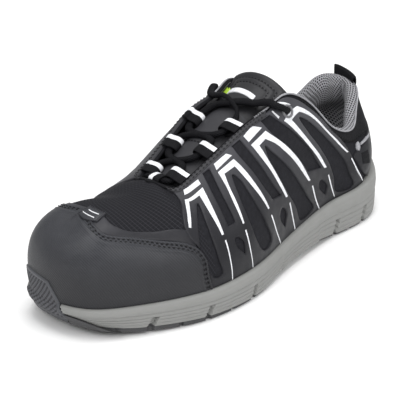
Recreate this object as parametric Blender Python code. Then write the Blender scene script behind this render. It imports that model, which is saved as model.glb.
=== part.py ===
"""Safety sneaker for a left foot, as one shoe standing on its sole.

Metres. +X points to the toe, +Y to the outer side of the foot, +Z up.
The origin is on the floor, under the middle of the heel.
"""
import math

import bmesh
import bpy
import numpy as np

# Driving sizes of the last and the sole.
SHOE_LENGTH = 0.290
BALL_WIDTH = 0.1035
HEEL_WIDTH = 0.070
COLLAR_WIDTH = 0.056
THROAT_WIDTH = 0.041
HEEL_HEIGHT = 0.083
INSTEP_HEIGHT = 0.105
TOE_HEIGHT = 0.071
HEEL_LIFT = 0.036
FORE_LIFT = 0.0195

# Walls, overlays and clearances.
GAP = 0.0003
OVERLAY_GAP = 0.0008
UPPER_WALL = 0.0024
COLLAR_PAD = 0.0058
RIM_ROUND = 0.30
OVERLAY = 0.0010
TOE_CAP_THICKNESS = 0.0011
BUMPER_THICKNESS = 0.0020
INSOLE_THICKNESS = 0.0040

# Sole.
SOLE_FLARE = 0.0030
HEEL_FLARE = 0.0025
OUTSOLE_THICKNESS = 0.0044
LUG_DEPTH = 0.0026
GROOVE_WIDTH = 0.0034
SIDE_SLOT_DEPTH = 0.0020
SIDE_SLOT_HEIGHT = 0.0100
TOE_SPRING = 0.0055
TOE_UNDERCUT = 0.0085
HEEL_BEVEL = 0.0040
ARCH_RISE = 0.0045

# Lacing.
LACE_WIDTH = 0.0066
LACE_THICKNESS = 0.0038
LOOP_WIDTH = 0.0100
LOOP_LENGTH = 0.0120
TOE_LOOP_LENGTH = 0.0100
LACE_REST = 0.0020
LACE_STEP = 0.0085
WEBBING = 0.0010
EYELET_RADIUS = 0.0032
EYELET_RIM = 0.0017
EYELET_HEIGHT = 0.0012
PULL_REACH = 0.042
PULL_RISE = 0.0085
TONGUE_CROWN = 3.0

# One row is one section of the last, from the heel (u 0) to the toe (u 1). x and top_x are shares of
# SHOE_LENGTH. outer, inner and lift place the feather line, top_outer to rim_inner the upper's edge,
# as shares of the sizes named in SECTION_GROUPS. rise, crest and slope (degrees) shape the wall's
# curve between them, and bulge (metres) is how far it swells.
COLUMNS = ("u", "x", "outer", "inner", "lift", "top_x", "top_outer", "top_inner",
           "rim_outer", "rim_inner", "rise", "bulge", "crest", "slope")
HEEL_ROWS = (
    (0.000, -0.113, 0.000, 0.000, 1.00, -0.098, 0.000, 0.000, 0.990, 0.990, 0.50, 0.0080, 0.30, 88),
    (0.055, -0.094, 0.210, -0.235, 0.93, -0.084, 0.180, -0.220, 0.930, 1.010, 0.48, 0.0080, 0.30, 86),
    (0.110, -0.045, 0.400, -0.415, 0.81, -0.048, 0.300, -0.330, 0.830, 0.990, 0.45, 0.0065, 0.30, 85),
    (0.180, 0.035, 0.493, -0.486, 0.72, 0.004, 0.438, -0.473, 0.740, 0.840, 0.42, 0.0050, 0.30, 82),
    (0.255, 0.128, 0.486, -0.464, 0.70, 0.097, 0.500, -0.527, 0.875, 0.920, 0.42, 0.0042, 0.30, 78),
)
THROAT_ROWS = (
    (0.325, 0.224, 0.358, -0.304, 1.20, 0.166, 0.634, -0.671, 0.890, 0.900, 0.42, 0.0040, 0.32, 66),
    (0.385, 0.300, 0.391, -0.324, 1.10, 0.236, 0.549, -0.598, 1.000, 0.990, 0.42, 0.0040, 0.34, 55),
    (0.440, 0.362, 0.427, -0.353, 1.04, 0.286, 0.476, -0.549, 0.948, 0.952, 0.43, 0.0040, 0.36, 48),
    (0.500, 0.424, 0.469, -0.401, 1.015, 0.360, 0.459, -0.537, 0.900, 0.910, 0.43, 0.0034, 0.36, 42),
    (0.560, 0.486, 0.495, -0.449, 1.01, 0.447, 0.415, -0.488, 0.803, 0.800, 0.45, 0.0029, 0.35, 36),
    (0.615, 0.541, 0.496, -0.488, 0.995, 0.528, 0.329, -0.427, 0.691, 0.697, 0.48, 0.0030, 0.37, 28),
    (0.650, 0.579, 0.486, -0.507, 0.985, 0.566, 0.268, -0.354, 0.662, 0.670, 0.51, 0.0034, 0.40, 22),
)
TOE_ROWS = (
    (0.690, 0.621, 0.462, -0.517, 0.99, 0.576, -0.061, -0.061, 1.018, 1.018, 0.54, 0.0038, 0.44, 2.5),
    (0.770, 0.697, 0.372, -0.498, 0.99, 0.631, -0.085, -0.085, 0.983, 0.983, 0.56, 0.0042, 0.49, 1.5),
    (0.845, 0.766, 0.261, -0.430, 1.00, 0.686, -0.134, -0.134, 0.993, 0.993, 0.60, 0.0048, 0.52, 0),
    (0.910, 0.816, 0.150, -0.343, 1.02, 0.736, -0.183, -0.183, 0.986, 0.986, 0.63, 0.0050, 0.53, 5),
    (0.960, 0.836, 0.030, -0.232, 1.02, 0.759, -0.207, -0.207, 0.958, 0.958, 0.64, 0.0048, 0.52, 14),
    (1.000, 0.8425, -0.10, -0.100, 1.02, 0.767, -0.232, -0.232, 0.944, 0.944, 0.65, 0.0045, 0.52, 20),
)
# Rows, then the sizes for the feather line's y, the edge's y, the edge's z and the feather line's z.
SECTION_GROUPS = (
    (HEEL_ROWS, HEEL_WIDTH, COLLAR_WIDTH, HEEL_HEIGHT, HEEL_LIFT),
    (THROAT_ROWS, BALL_WIDTH, THROAT_WIDTH, INSTEP_HEIGHT, FORE_LIFT),
    (TOE_ROWS, BALL_WIDTH, THROAT_WIDTH, TOE_HEIGHT, FORE_LIFT),
)
THROAT_END = 0.690

# Side of the midsole from its top edge (down 0) to its bottom (down 1), and how far it stands out.
MIDSOLE_SIDE = (
    # down, out
    (0.00, -0.0008),
    (0.06, 0.0002),
    (0.40, 0.0006),
    (0.44, -0.0005),
    (0.52, 0.0005),
    (0.60, -0.0005),
    (0.68, 0.0004),
    (0.76, -0.0006),
    (0.84, 0.0002),
    (1.00, -0.0006),
)
# Where the flex grooves cross the sole, as shares of SHOE_LENGTH.
FLEX_GROOVES = (0.017, 0.117, 0.476, 0.610, 0.728)
FINE_GROOVES = (0.067, 0.410, 0.543, 0.669, 0.786)
HEEL_POD_END = 0.300
FORE_POD_START = 0.430
POD_SETBACK = 0.004
BUMPER_OUTER = 0.983
BUMPER_INNER = 1.100
BUMPER_TOP = 0.26

# The side cage's legs from the throat back to the heel: section at the top and at the sole, and how
# late the leg bends between them. Legs stand in pairs, and a pair encloses one open window.
CAGE_LEGS = (
    # top, foot, sweep
    (0.640, 0.688, 3.0),
    (0.602, 0.614, 1.0),
    (0.568, 0.546, 0.4),
    (0.537, 0.424, 0.75),
    (0.496, 0.366, 1.2),
    (0.455, 0.284, 1.4),
    (0.398, 0.240, 2.0),
    (0.360, 0.154, 3.2),
)
LEG_TOP = 0.86
LEG_WIDTH_TOP = 0.016
LEG_WIDTH_FOOT = 0.022
WINDOW_TOP = 0.76
GUSSET_TOP = 0.36
FRONT_LEG_END = 0.50
EYESTAY_BOTTOM = 0.90
CAGE_TOP = 0.975

# Upper edge of the toe cap from the outer back corner to the middle of the toe, as (section, height).
TOE_CAP_EDGE = (
    (0.672, 0.000),
    (0.680, 0.270),
    (0.700, 0.400),
    (0.790, 0.530),
    (0.850, 0.600),
    (0.884, 0.690),
    (0.905, 0.840),
    (0.925, 1.000),
)

# Tongue: x as a share of SHOE_LENGTH, crown as a share of INSTEP_HEIGHT, half width and drop of its
# sides as shares of THROAT_WIDTH, shift towards the inner side, thickness in metres.
TONGUE_ROWS = (
    # x, crown, half, drop, shift, thickness
    (0.610, 0.628, 0.40, 0.18, 0.03, 0.0022),
    (0.570, 0.635, 0.46, 0.24, 0.04, 0.0026),
    (0.515, 0.686, 0.54, 0.32, 0.04, 0.0030),
    (0.440, 0.796, 0.60, 0.38, 0.03, 0.0034),
    (0.360, 0.896, 0.60, 0.38, 0.04, 0.0040),
    (0.290, 0.968, 0.54, 0.34, 0.05, 0.0060),
    (0.245, 1.030, 0.49, 0.32, 0.06, 0.0080),
    (0.222, 1.066, 0.46, 0.29, 0.06, 0.0080),
    (0.208, 1.074, 0.42, 0.24, 0.06, 0.0056),
)

# Sections of the lace loops on both throat edges.
LACE_LOOPS = (0.608, 0.558, 0.500)
TOP_EYELET = (0.388, 0.875)


def clear_scene():
    for item in list(bpy.data.objects):
        bpy.data.objects.remove(item, do_unlink=True)


def material(name, color, roughness, metallic=0.0):
    made = bpy.data.materials.new(name)
    made.use_nodes = True
    shader = made.node_tree.nodes["Principled BSDF"]
    shader.inputs["Base Color"].default_value = (*color, 1.0)
    shader.inputs["Roughness"].default_value = roughness
    shader.inputs["Metallic"].default_value = metallic
    return made


def periodic_spline(keys, values):
    """Smooth closed curve of period 2 through the values at the keys."""
    count = len(keys)
    step = np.diff(np.append(keys, keys[0] + 2.0))
    after = np.roll(np.arange(count), -1)
    before = np.roll(np.arange(count), 1)
    system = np.zeros((count, count))
    for i in range(count):
        system[i, before[i]] += step[before[i]]
        system[i, i] += 2 * (step[before[i]] + step[i])
        system[i, after[i]] += step[i]
    column = step[:, None]
    bend = 6 * ((values[after] - values) / column - (values - values[before]) / column[before])
    curve = np.linalg.solve(system, bend)

    def at(t):
        t = np.mod(t, 2.0)
        i = np.clip(np.searchsorted(keys, t, side="right") - 1, 0, count - 1)
        j = after[i]
        span = step[i][..., None]
        left = (keys[i] + step[i] - t)[..., None]
        right = (t - keys[i])[..., None]
        cubic = (curve[i] * left**3 + curve[j] * right**3) / (6 * span)
        line = (values[i] / span - curve[i] * span / 6) * left
        return cubic + line + (values[j] / span - curve[j] * span / 6) * right

    return at


def section_spline():
    """The section table in metres as a closed curve: outer side 0 to 1, inner side 1 to 2."""
    outer, inner = [], []
    for rows, width, top_width, height, lift in SECTION_GROUPS:
        for row in rows:
            s = dict(zip(COLUMNS, row))
            form = (s["rise"], s["bulge"], s["crest"], math.radians(s["slope"]))
            x = s["x"] * SHOE_LENGTH
            top_x = s["top_x"] * SHOE_LENGTH
            outer.append((s["u"], x, s["outer"] * width, s["lift"] * lift,
                          top_x, s["top_outer"] * top_width, s["rim_outer"] * height, *form))
            inner.append((2 - s["u"], x, s["inner"] * width, s["lift"] * lift,
                          top_x, s["top_inner"] * top_width, s["rim_inner"] * height, *form))
    table = np.array(outer + inner[-2:0:-1])
    return periodic_spline(table[:, 0], table[:, 1:])


SECTION = section_spline()


def unit(vectors):
    return vectors / np.linalg.norm(vectors, axis=-1, keepdims=True)


def feather_normal(t):
    """Horizontal unit vector out of the feather line."""
    step = 0.001
    along = SECTION(t + step)[..., :2] - SECTION(t - step)[..., :2]
    return unit(np.stack([-along[..., 1], along[..., 0]], -1))


def on_ridge(t):
    """True over the toe, where both sides of the upper meet in one ridge."""
    return np.abs(np.mod(t, 2.0) - 1.0) < 1.0 - THROAT_END + 1e-6


def skin(t, h):
    """Point of the upper's outer face: section t, height share h from feather line to edge."""
    t, h = np.broadcast_arrays(np.asarray(t, float), np.asarray(h, float))
    values = SECTION(t)
    shared = (values + SECTION(2.0 - t)) / 2
    feather = values[..., 0:3]
    edge = np.where(on_ridge(t)[..., None], shared[..., 3:6], values[..., 3:6])
    rise, bulge, crest, slope = (values[..., k, None] for k in (6, 7, 8, 9))
    up = np.array([0.0, 0.0, 1.0])
    span = feather - edge
    length = np.linalg.norm(span, axis=-1, keepdims=True)
    side = unit(span * [1.0, 1.0, 0.0])
    out = np.concatenate([feather_normal(t), np.zeros(t.shape + (1,))], -1)
    low = feather + out * bulge - span * up * rise
    high = edge + crest * length * (side * np.cos(slope) - up * np.sin(slope))
    h = h[..., None]
    return (1 - h)**3 * feather + 3 * (1 - h)**2 * h * low + 3 * (1 - h) * h * h * high + h**3 * edge


def skin_normal(t, h):
    """Outward unit normal of the upper's outer face."""
    step = 0.002
    t, h = np.broadcast_arrays(np.asarray(t, float), np.asarray(h, float))
    inside = np.clip(h, step, 0.97)
    along = skin(t + step, inside) - skin(t - step, inside)
    upward = skin(t, inside + step) - skin(t, inside - step)
    normal = unit(np.cross(upward, along))
    other = 2.0 - t
    along = skin(other + step, inside) - skin(other - step, inside)
    upward = skin(other, inside + step) - skin(other, inside - step)
    both = unit(normal + unit(np.cross(upward, along)))
    return np.where((on_ridge(t) & (h > 0.99))[..., None], both, normal)


def layer(t, h, height):
    """Point at a height over the upper's outer face, or under it where the height is negative."""
    height = np.broadcast_to(np.asarray(height, float), np.broadcast(t, h).shape)
    return skin(t, h) + skin_normal(t, h) * height[..., None]


def smooth(value, low, high):
    share = np.clip((np.asarray(value, float) - low) / (high - low), 0.0, 1.0)
    return share * share * (3 - 2 * share)


def wall(t, h):
    """Thickness of the upper: one layer of fabric, and a padded collar."""
    back = np.minimum(np.mod(t, 2.0), 2.0 - np.mod(t, 2.0))
    pad = (1.0 - smooth(back, 0.22, 0.36)) * smooth(h, 0.40, 0.80)
    return UPPER_WALL + (COLLAR_PAD - UPPER_WALL) * pad


def ground(x):
    """Height of the sole's underside: heel bevel, arch and toe spring."""
    share = np.asarray(x, float) / SHOE_LENGTH
    spring = TOE_SPRING * np.clip((share - 0.555) / 0.31, 0, 1)**2
    bevel = HEEL_BEVEL * np.clip((-0.062 - share) / 0.07, 0, 1)**2
    arch = ARCH_RISE * np.sin(np.pi * np.clip((share - 0.10) / 0.34, 0, 1))**1.2
    return spring + bevel + arch


def outline(t, out):
    """Plan point of the sole's outline at a distance out of the feather line."""
    return SECTION(t)[..., :2] + feather_normal(t) * np.asarray(out, float)[..., None]


def sole_out(t, down):
    """How far the sole stands out of the feather line: flare, and the tuck under the toe."""
    back = np.minimum(np.mod(t, 2.0), 2.0 - np.mod(t, 2.0))
    flare = SOLE_FLARE + HEEL_FLARE * np.exp(-(back / 0.25)**2)
    toe = np.clip((SECTION(t)[..., 0] / SHOE_LENGTH - 0.745) / 0.10, 0, 1)**1.5
    return flare - TOE_UNDERCUT * toe * np.clip((down - 0.35) / 0.65, 0, 1)


def mesh_object(name, vertices, faces, finish):
    """Object from points and faces, welded, with its faces turned outwards."""
    mesh = bpy.data.meshes.new(name)
    made = bmesh.new()
    points = [made.verts.new(v) for v in vertices]
    for face in faces:
        made.faces.new([points[k] for k in face])
    bmesh.ops.remove_doubles(made, verts=made.verts, dist=1e-6)
    loose = [v for v in made.verts if not v.link_faces]
    bmesh.ops.delete(made, geom=loose, context="VERTS")
    bmesh.ops.recalc_face_normals(made, faces=made.faces)
    made.to_mesh(mesh)
    made.free()
    mesh.shade_smooth()
    mesh.set_sharp_from_angle(angle=math.radians(35))
    mesh.materials.append(finish)
    item = bpy.data.objects.new(name, mesh)
    bpy.context.collection.objects.link(item)
    return item


def loft(name, loops, finish, caps=(True, True), closed=False):
    """Solid through loops of equally many points, capped where it ends in a face."""
    count = len(loops[0])
    faces = []
    for i in range(len(loops) if closed else len(loops) - 1):
        a = i * count
        b = (i + 1) % len(loops) * count
        for j in range(count):
            k = (j + 1) % count
            faces.append((a + j, a + k, b + k, b + j))
    for start, cap in zip((0, (len(loops) - 1) * count), caps):
        if cap and not closed:
            faces.append(tuple(start + j for j in range(count)))
    return mesh_object(name, np.concatenate(loops), faces, finish)


def cut(item, cutter):
    """Takes the cutter out of the item with a Boolean modifier."""
    cutter.hide_render = True
    cutter.display_type = "WIRE"
    modifier = item.modifiers.new("cut " + cutter.name, "BOOLEAN")
    modifier.operation = "DIFFERENCE"
    modifier.solver = "EXACT"
    modifier.object = cutter


def block(x, y, low, high, heading=0.0, lean=0.0):
    """Corners and faces of an upright block with its middle at x, y."""
    corners = []
    for z in (low, high):
        for a, b in ((-1, -1), (1, -1), (1, 1), (-1, 1)):
            along, across = a * x[1] / 2, b * y[1] / 2
            px = x[0] + along * math.cos(heading) - across * math.sin(heading)
            py = y[0] + along * math.sin(heading) + across * math.cos(heading)
            corners.append((px + lean * (z - low), py, z))
    sides = ((0, 3, 2, 1), (4, 5, 6, 7), (0, 1, 5, 4), (1, 2, 6, 5), (2, 3, 7, 6), (3, 0, 4, 7))
    return corners, sides


def joined_blocks(name, blocks, finish):
    vertices, faces = [], []
    for corners, sides in blocks:
        start = len(vertices)
        vertices.extend(corners)
        faces.extend(tuple(start + k for k in side) for side in sides)
    return mesh_object(name, vertices, faces, finish)


def section_steps(per_row):
    """Sections around the whole shoe, with a few steps between the rows of the table."""
    rows = [row[0] for group in SECTION_GROUPS for row in group[0]]
    half = []
    for low, high in zip(rows, rows[1:]):
        half.extend(low + (high - low) * k / per_row for k in range(per_row))
    return half + [1.0] + [2 - t for t in half[:0:-1]]


def make_upper(finish):
    """Hollow upper: one wall, open at the collar, at the throat and underneath."""
    sections = np.array(section_steps(2))
    heights = np.array([0.0, 0.14, 0.28, 0.42, 0.56, 0.70, 0.82, 0.92, 1.0])
    t, h = np.meshgrid(sections, heights, indexing="ij")
    outside = layer(t, h, 0.0)
    inside = layer(t, h, -wall(t, h))
    rise = unit(outside[:, -1] - outside[:, -2])
    rise[on_ridge(sections)] = [-1.0, 0.0, 0.0]
    rim = (outside[:, -1] + inside[:, -1]) / 2 + rise * wall(sections, 1.0)[:, None] * RIM_ROUND
    rows, count = t.shape
    inner = rows * count
    top = 2 * inner
    faces = []
    for i in range(rows):
        j = (i + 1) % rows
        a, b = i * count, j * count
        for k in range(count - 1):
            faces.append((a + k, b + k, b + k + 1, a + k + 1))
            faces.append((inner + a + k, inner + a + k + 1, inner + b + k + 1, inner + b + k))
        faces.append((a, inner + a, inner + b, b))
        if not (on_ridge(sections[i]) and on_ridge(sections[j])):
            a, b = a + count - 1, b + count - 1
            faces.append((a, b, top + j, top + i))
            faces.append((top + i, top + j, inner + b, inner + a))
    vertices = np.concatenate([outside.reshape(-1, 3), inside.reshape(-1, 3), rim])
    return mesh_object("upper", vertices, faces, finish)


def sole_loop(t, levels, shares=(0.25, 0.5, 0.75)):
    """Closed loop across the sole at one section: levels are (out, z) for both sides, top first."""
    both = []
    for side in (t, 2.0 - t):
        points = [(*outline(np.array(side), out), z) for out, z in levels(side)]
        both.append(np.array(points))
    outer, inner = both
    under = [outer[-1] + (inner[-1] - outer[-1]) * s for s in shares]
    over = [inner[0] + (outer[0] - inner[0]) * s for s in shares]
    return np.concatenate([outer, under, inner[::-1], over])


def sole_sections(start, end, breaks=()):
    """Sections between two places, closer at the ends of the shoe, doubled at the breaks."""
    base = [t for t in section_steps(2) if start < t < end]
    edge = 0.0015
    for place in breaks:
        base = [t for t in base if abs(t - place) > 4 * edge] + [place - edge, place + edge]
    return [start] + sorted(t for t in base if start < t < end) + [end]


def under_bumper(t):
    """1 where the toe bumper covers the sole's front, otherwise 0."""
    return float(BUMPER_OUTER < t < BUMPER_INNER)


def pod_cover(t):
    """1 where an outsole pod lies under the midsole, otherwise 0."""
    back = min(t, 2.0 - t)
    return float(back < HEEL_POD_END or back > FORE_POD_START)


def make_midsole(finish):
    def levels(side):
        lift = float(SECTION(np.array(side))[2]) - GAP
        made = []
        for down, out in MIDSOLE_SIDE:
            place = float(sole_out(np.array(side), down)) + out
            place -= under_bumper(side) * (BUMPER_THICKNESS + GAP)
            x = outline(np.array(side), np.array(place))[0]
            bottom = float(ground(x)) + pod_cover(side) * (OUTSOLE_THICKNESS + GAP)
            made.append((place, lift + (bottom - lift) * down))
        return made

    breaks = (HEEL_POD_END, FORE_POD_START, BUMPER_OUTER, 2.0 - BUMPER_INNER)
    loops = [sole_loop(t, levels) for t in sole_sections(0.0, 1.0, breaks)]
    midsole = loft("midsole", loops, finish, (False, False))
    slots = []
    for share in FLEX_GROOVES:
        for side in (1, -1):
            slots.append(side_slot(share * SHOE_LENGTH, side))
    cut(midsole, joined_blocks("slot_cutter", slots, finish))
    return midsole


def side_at(x, side):
    """Section and plan direction of the outline where it passes x."""
    t = np.linspace(0.02, 0.93, 300)
    if side < 0:
        t = 2.0 - t
    place = outline(t, sole_out(t, 0.8))
    return float(t[np.argmin(np.abs(place[:, 0] - x))])


def side_slot(x, side):
    """Block that cuts one flex slot into the sole's side."""
    t = np.array(side_at(x, side))
    middle = outline(t, sole_out(t, 0.8))
    normal = feather_normal(t)
    heading = math.atan2(normal[1], normal[0]) - math.pi / 2
    depth = 2 * SIDE_SLOT_DEPTH + 0.004
    place = middle + normal * 0.002
    low = -0.004
    high = float(ground(x)) + SIDE_SLOT_HEIGHT
    return block((float(place[0]), GROOVE_WIDTH), (float(place[1]), depth), low, high, heading)


def make_pod(name, start, end, finish):
    """One rubber pod of the outsole with its cross grooves and two long grooves."""
    def levels(side):
        made = []
        for down, z_share in ((0.90, 1.0), (0.97, 0.25), (1.0, 0.0)):
            out = float(sole_out(np.array(side), down)) - 0.0006 * (1 + (z_share == 0.0))
            x = outline(np.array(side), np.array(out))[0]
            made.append((out, float(ground(x)) + OUTSOLE_THICKNESS * z_share))
        return made

    loops = [sole_loop(t, levels) for t in sole_sections(start, end)]
    pod = loft(name, loops, finish, (start > 0.0, end < 1.0))
    xs = np.concatenate(loops)[:, 0]
    cutters = []
    for share in FLEX_GROOVES + FINE_GROOVES:
        x = share * SHOE_LENGTH
        if xs.min() + 0.006 < x < xs.max() - 0.006:
            width = GROOVE_WIDTH if share in FLEX_GROOVES else GROOVE_WIDTH * 0.7
            high = float(ground(x)) + LUG_DEPTH
            cutters.append(block((x, width), (0.0, 2 * BALL_WIDTH), -0.006, high))
    cut(pod, joined_blocks(name + "_cross_cutter", cutters, finish))
    return pod


def make_insole(finish):
    inset = UPPER_WALL + 4 * GAP

    def levels(side):
        lift = float(SECTION(np.array(side))[2])
        return [(-inset, lift + INSOLE_THICKNESS), (-inset, lift)]

    loops = [sole_loop(t, levels, (0.2, 0.5, 0.8)) for t in sole_sections(0.0, 1.0)[::2]]
    return loft("insole", loops, finish, (False, False))


def make_bumper(finish):
    """Rubber bumper wrapped up over the toe, between the outsole and the toe cap."""
    clear = TOE_CAP_THICKNESS + 2 * OVERLAY_GAP
    loops = []
    for t in np.linspace(BUMPER_OUTER + 0.003, BUMPER_INNER - 0.003, 13):
        ends = abs(2 * (t - BUMPER_OUTER) / (BUMPER_INNER - BUMPER_OUTER) - 1)
        top = BUMPER_TOP * (1 - 0.25 * ends**4)
        side = np.array(t)
        heights = np.array([top, top * 0.55, 0.02])
        inner_skin = layer(side, heights, clear)
        outer_skin = layer(side, heights * [0.96, 1, 1],
                           clear + BUMPER_THICKNESS * np.array([0.45, 0.8, 1.0]))
        lift = float(SECTION(side)[2])
        inner_sole, outer_sole = [], []
        for down in (0.12, 0.35, 0.70, 1.0):
            place = float(sole_out(side, down))
            wrap = BUMPER_THICKNESS * 0.15
            inside = outline(side, np.array(place - BUMPER_THICKNESS * 0.6))
            outside = outline(side, np.array(place + wrap))
            x = outline(side, np.array(place))[0]
            bottom = float(ground(x)) + OUTSOLE_THICKNESS + GAP
            z = lift - GAP + (bottom - lift + GAP) * down
            inner_sole.append((*inside, z))
            outer_sole.append((*outside, z))
        inner_skin[2, 2] = lift + GAP
        loops.append(np.concatenate([outer_skin, outer_sole, inner_sole[::-1], inner_skin[::-1]]))
    return loft("toe_bumper", loops, finish)


def sheet(name, points, finish, thickness, keep=None):
    """Solid of even thickness on a grid of points; keep chooses the grid's faces."""
    rows, count = points.shape[:2]
    faces = []
    for i in range(rows - 1):
        for k in range(count - 1):
            if keep is None or keep[i, k]:
                a, b = i * count + k, (i + 1) * count + k
                faces.append((a, b, b + 1, a + 1))
    item = mesh_object(name, points.reshape(-1, 3), faces, finish)
    solid = item.modifiers.new("thickness", "SOLIDIFY")
    solid.thickness = thickness
    solid.offset = 1.0
    solid.use_even_offset = True
    return item


def overlay(name, t, h, finish, thickness, keep=None):
    """Overlay that stands over the upper's outer face."""
    t, h = np.broadcast_arrays(t, h)
    return sheet(name, layer(t, h, OVERLAY_GAP), finish, thickness, keep)


def make_toe_cap(finish):
    """Toe cap over the front of the upper, from its swept upper edge down to the feather line."""
    edge = np.array(TOE_CAP_EDGE)
    reach = np.concatenate([[0.0], np.cumsum(np.hypot(*np.diff(edge * [2.0, 1.0], axis=0).T))])
    places = np.linspace(0.0, 1.0, 12)[1:] * reach[-1]
    side_t = np.interp(places, reach, edge[:, 0])
    side_h = np.interp(places, reach, edge[:, 1])
    ridge = np.linspace(edge[-1, 0], 1.0, 5)[1:]
    top_t = np.concatenate([side_t, ridge])
    top_h = np.concatenate([side_h, np.ones(len(ridge))])
    foot_t = np.linspace(edge[0, 0], 1.0, len(top_t))
    share = np.linspace(0.0, 1.0, 8)
    t = foot_t[:, None] + (top_t - foot_t)[:, None] * share**1.5
    h = 0.01 + (top_h[:, None] - 0.01) * share
    t = np.concatenate([t, 2.0 - t[-2::-1]])
    h = np.concatenate([h, h[-2::-1]])
    return overlay("toe_cap", t, h, finish, TOE_CAP_THICKNESS)


def leg_section(leg, h):
    """Section where the middle line of a cage leg passes a height."""
    top, foot, sweep = leg
    return foot + (top - foot) * (np.asarray(h, float) / LEG_TOP)**sweep


def make_cage(name, finish, inner_side):
    """Side cage: eight legs under an eyestay, with open windows between them."""
    heights = np.array([0.015, 0.12, 0.24, GUSSET_TOP, FRONT_LEG_END, 0.63, WINDOW_TOP, LEG_TOP,
                        EYESTAY_BOTTOM, CAGE_TOP])
    width = LEG_WIDTH_FOOT + (LEG_WIDTH_TOP - LEG_WIDTH_FOOT) * heights / LEG_TOP
    columns, kinds = [], []
    for number, leg in enumerate(CAGE_LEGS):
        middle = leg_section(leg, np.minimum(heights, LEG_TOP))
        columns.append(middle + width / 2)
        columns.append(middle - width / 2)
        kinds.append("leg")
        if number < len(CAGE_LEGS) - 1:
            kinds.append("window" if number % 2 == 0 else "gusset")
    t = np.array(columns)
    h = np.broadcast_to(heights, t.shape)
    keep = np.ones((len(kinds), len(heights) - 1), bool)
    low = heights[:-1]
    keep[0] = low >= FRONT_LEG_END - 1e-6
    for i, kind in enumerate(kinds):
        if kind == "window":
            keep[i] = low >= WINDOW_TOP - 1e-6
        if kind == "gusset":
            keep[i] = (low < GUSSET_TOP - 1e-6) | (low >= EYESTAY_BOTTOM - 1e-6)
    if inner_side:
        t = 2.0 - t[::-1]
        keep = keep[::-1]
    return overlay(name, t, h, finish, OVERLAY, keep)


def make_heel_patch(finish):
    """Low counter overlay around the back of the heel."""
    t = np.linspace(-0.115, 0.115, 13)
    top = 0.52 - 0.16 * np.abs(t / 0.115)**2
    share = np.linspace(0.0, 1.0, 5)
    h = 0.015 + (top - 0.015)[:, None] * share
    return overlay("heel_counter", t[:, None], h, finish, OVERLAY)


def tongue_values(x):
    """Crown, half width, drop, middle and thickness of the tongue at x, in metres."""
    rows = np.array(TONGUE_ROWS)[::-1]
    share = np.asarray(x, float) / SHOE_LENGTH
    crown, half, drop, shift, thick = (np.interp(share, rows[:, 0], rows[:, k]) for k in range(1, 6))
    return crown * INSTEP_HEIGHT, half * THROAT_WIDTH, drop * THROAT_WIDTH, -shift * THROAT_WIDTH, thick


def tongue_height(x, y):
    """Height of the tongue's upper face."""
    crown, half, drop, middle, _ = tongue_values(x)
    return crown - drop * (np.abs(y - middle) / half)**TONGUE_CROWN


def make_tongue(finish):
    xs = np.interp(np.linspace(0, 8, 15), np.arange(9), [row[0] for row in TONGUE_ROWS]) * SHOE_LENGTH
    across = np.linspace(-1.0, 1.0, 11)
    loops = []
    for x in xs:
        _, half, _, middle, thick = tongue_values(x)
        y = middle + across * half
        top = np.stack([np.full_like(y, x), y, tongue_height(x, y)], -1)
        edge = 1 - 0.55 * np.abs(across)**6
        bottom = top - np.stack([0 * y + 0.35 * thick, 0 * y, thick * edge], -1)
        loops.append(np.concatenate([top, bottom[::-1]]))
    return loft("tongue", loops, finish)


def ribbon(name, path, across, thickness, finish):
    """Flat band of even thickness along a path; across is half its width as a vector."""
    path = np.asarray(path, float)
    along = unit(np.gradient(path, axis=0))
    side = unit(np.broadcast_to(across, path.shape))
    lift = unit(np.cross(along, side)) * thickness / 2
    half = np.broadcast_to(across, path.shape)
    loops = [np.array([p - a + u, p + a + u, p + a - u, p - a - u]) for p, a, u in zip(path, half, lift)]
    return loft(name, loops, finish)


def smooth_path(points, values, step):
    """Smooth open curve through a few points, and the values given at them, about every step."""
    points = np.asarray(points, float)
    reach = np.linalg.norm(np.diff(points, axis=0), axis=1)
    slopes = np.diff(points, axis=0) / reach[:, None]
    before, after = reach[:-1, None], reach[1:, None]
    inner = (slopes[:-1] * after + slopes[1:] * before) / (before + after)
    tangents = np.concatenate([slopes[:1], inner, slopes[-1:]])
    path, along = [points[0]], [values[0]]
    for i, length in enumerate(reach):
        count = max(1, round(length / step))
        for f in np.arange(1, count + 1) / count:
            ease = f * f * (3 - 2 * f)
            path.append(points[i] + (points[i + 1] - points[i]) * ease
                        + tangents[i] * length * f * (1 - f)**2
                        - tangents[i + 1] * length * f * f * (1 - f))
            along.append(values[i] + (values[i + 1] - values[i]) * f)
    return np.array(path), np.array(along)


def loop_frame(t):
    """Edge point of the throat with its directions: along the edge, across to the middle, up."""
    step = 0.004
    edge = skin(t, 1.0)
    along = unit(skin(t + step, 1.0) - skin(t - step, 1.0))
    toward = np.array([0.0, -1.0 if t < 1.0 else 1.0, 0.0])
    across = unit(toward - along * (toward @ along))
    up = np.cross(along, across)
    return edge, along, across, up if up[2] > 0 else -up


def lace_place(t):
    """Middle of the lace where it runs through the loop at section t of the throat's edge."""
    edge, _, across, _ = loop_frame(t)
    place = edge + across * (LOOP_LENGTH - WEBBING - GAP - LACE_WIDTH / 2)
    rest = WEBBING + LACE_THICKNESS / 2 + LACE_REST
    place[2] = float(tongue_height(place[0], place[1])) + rest
    return place


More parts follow.
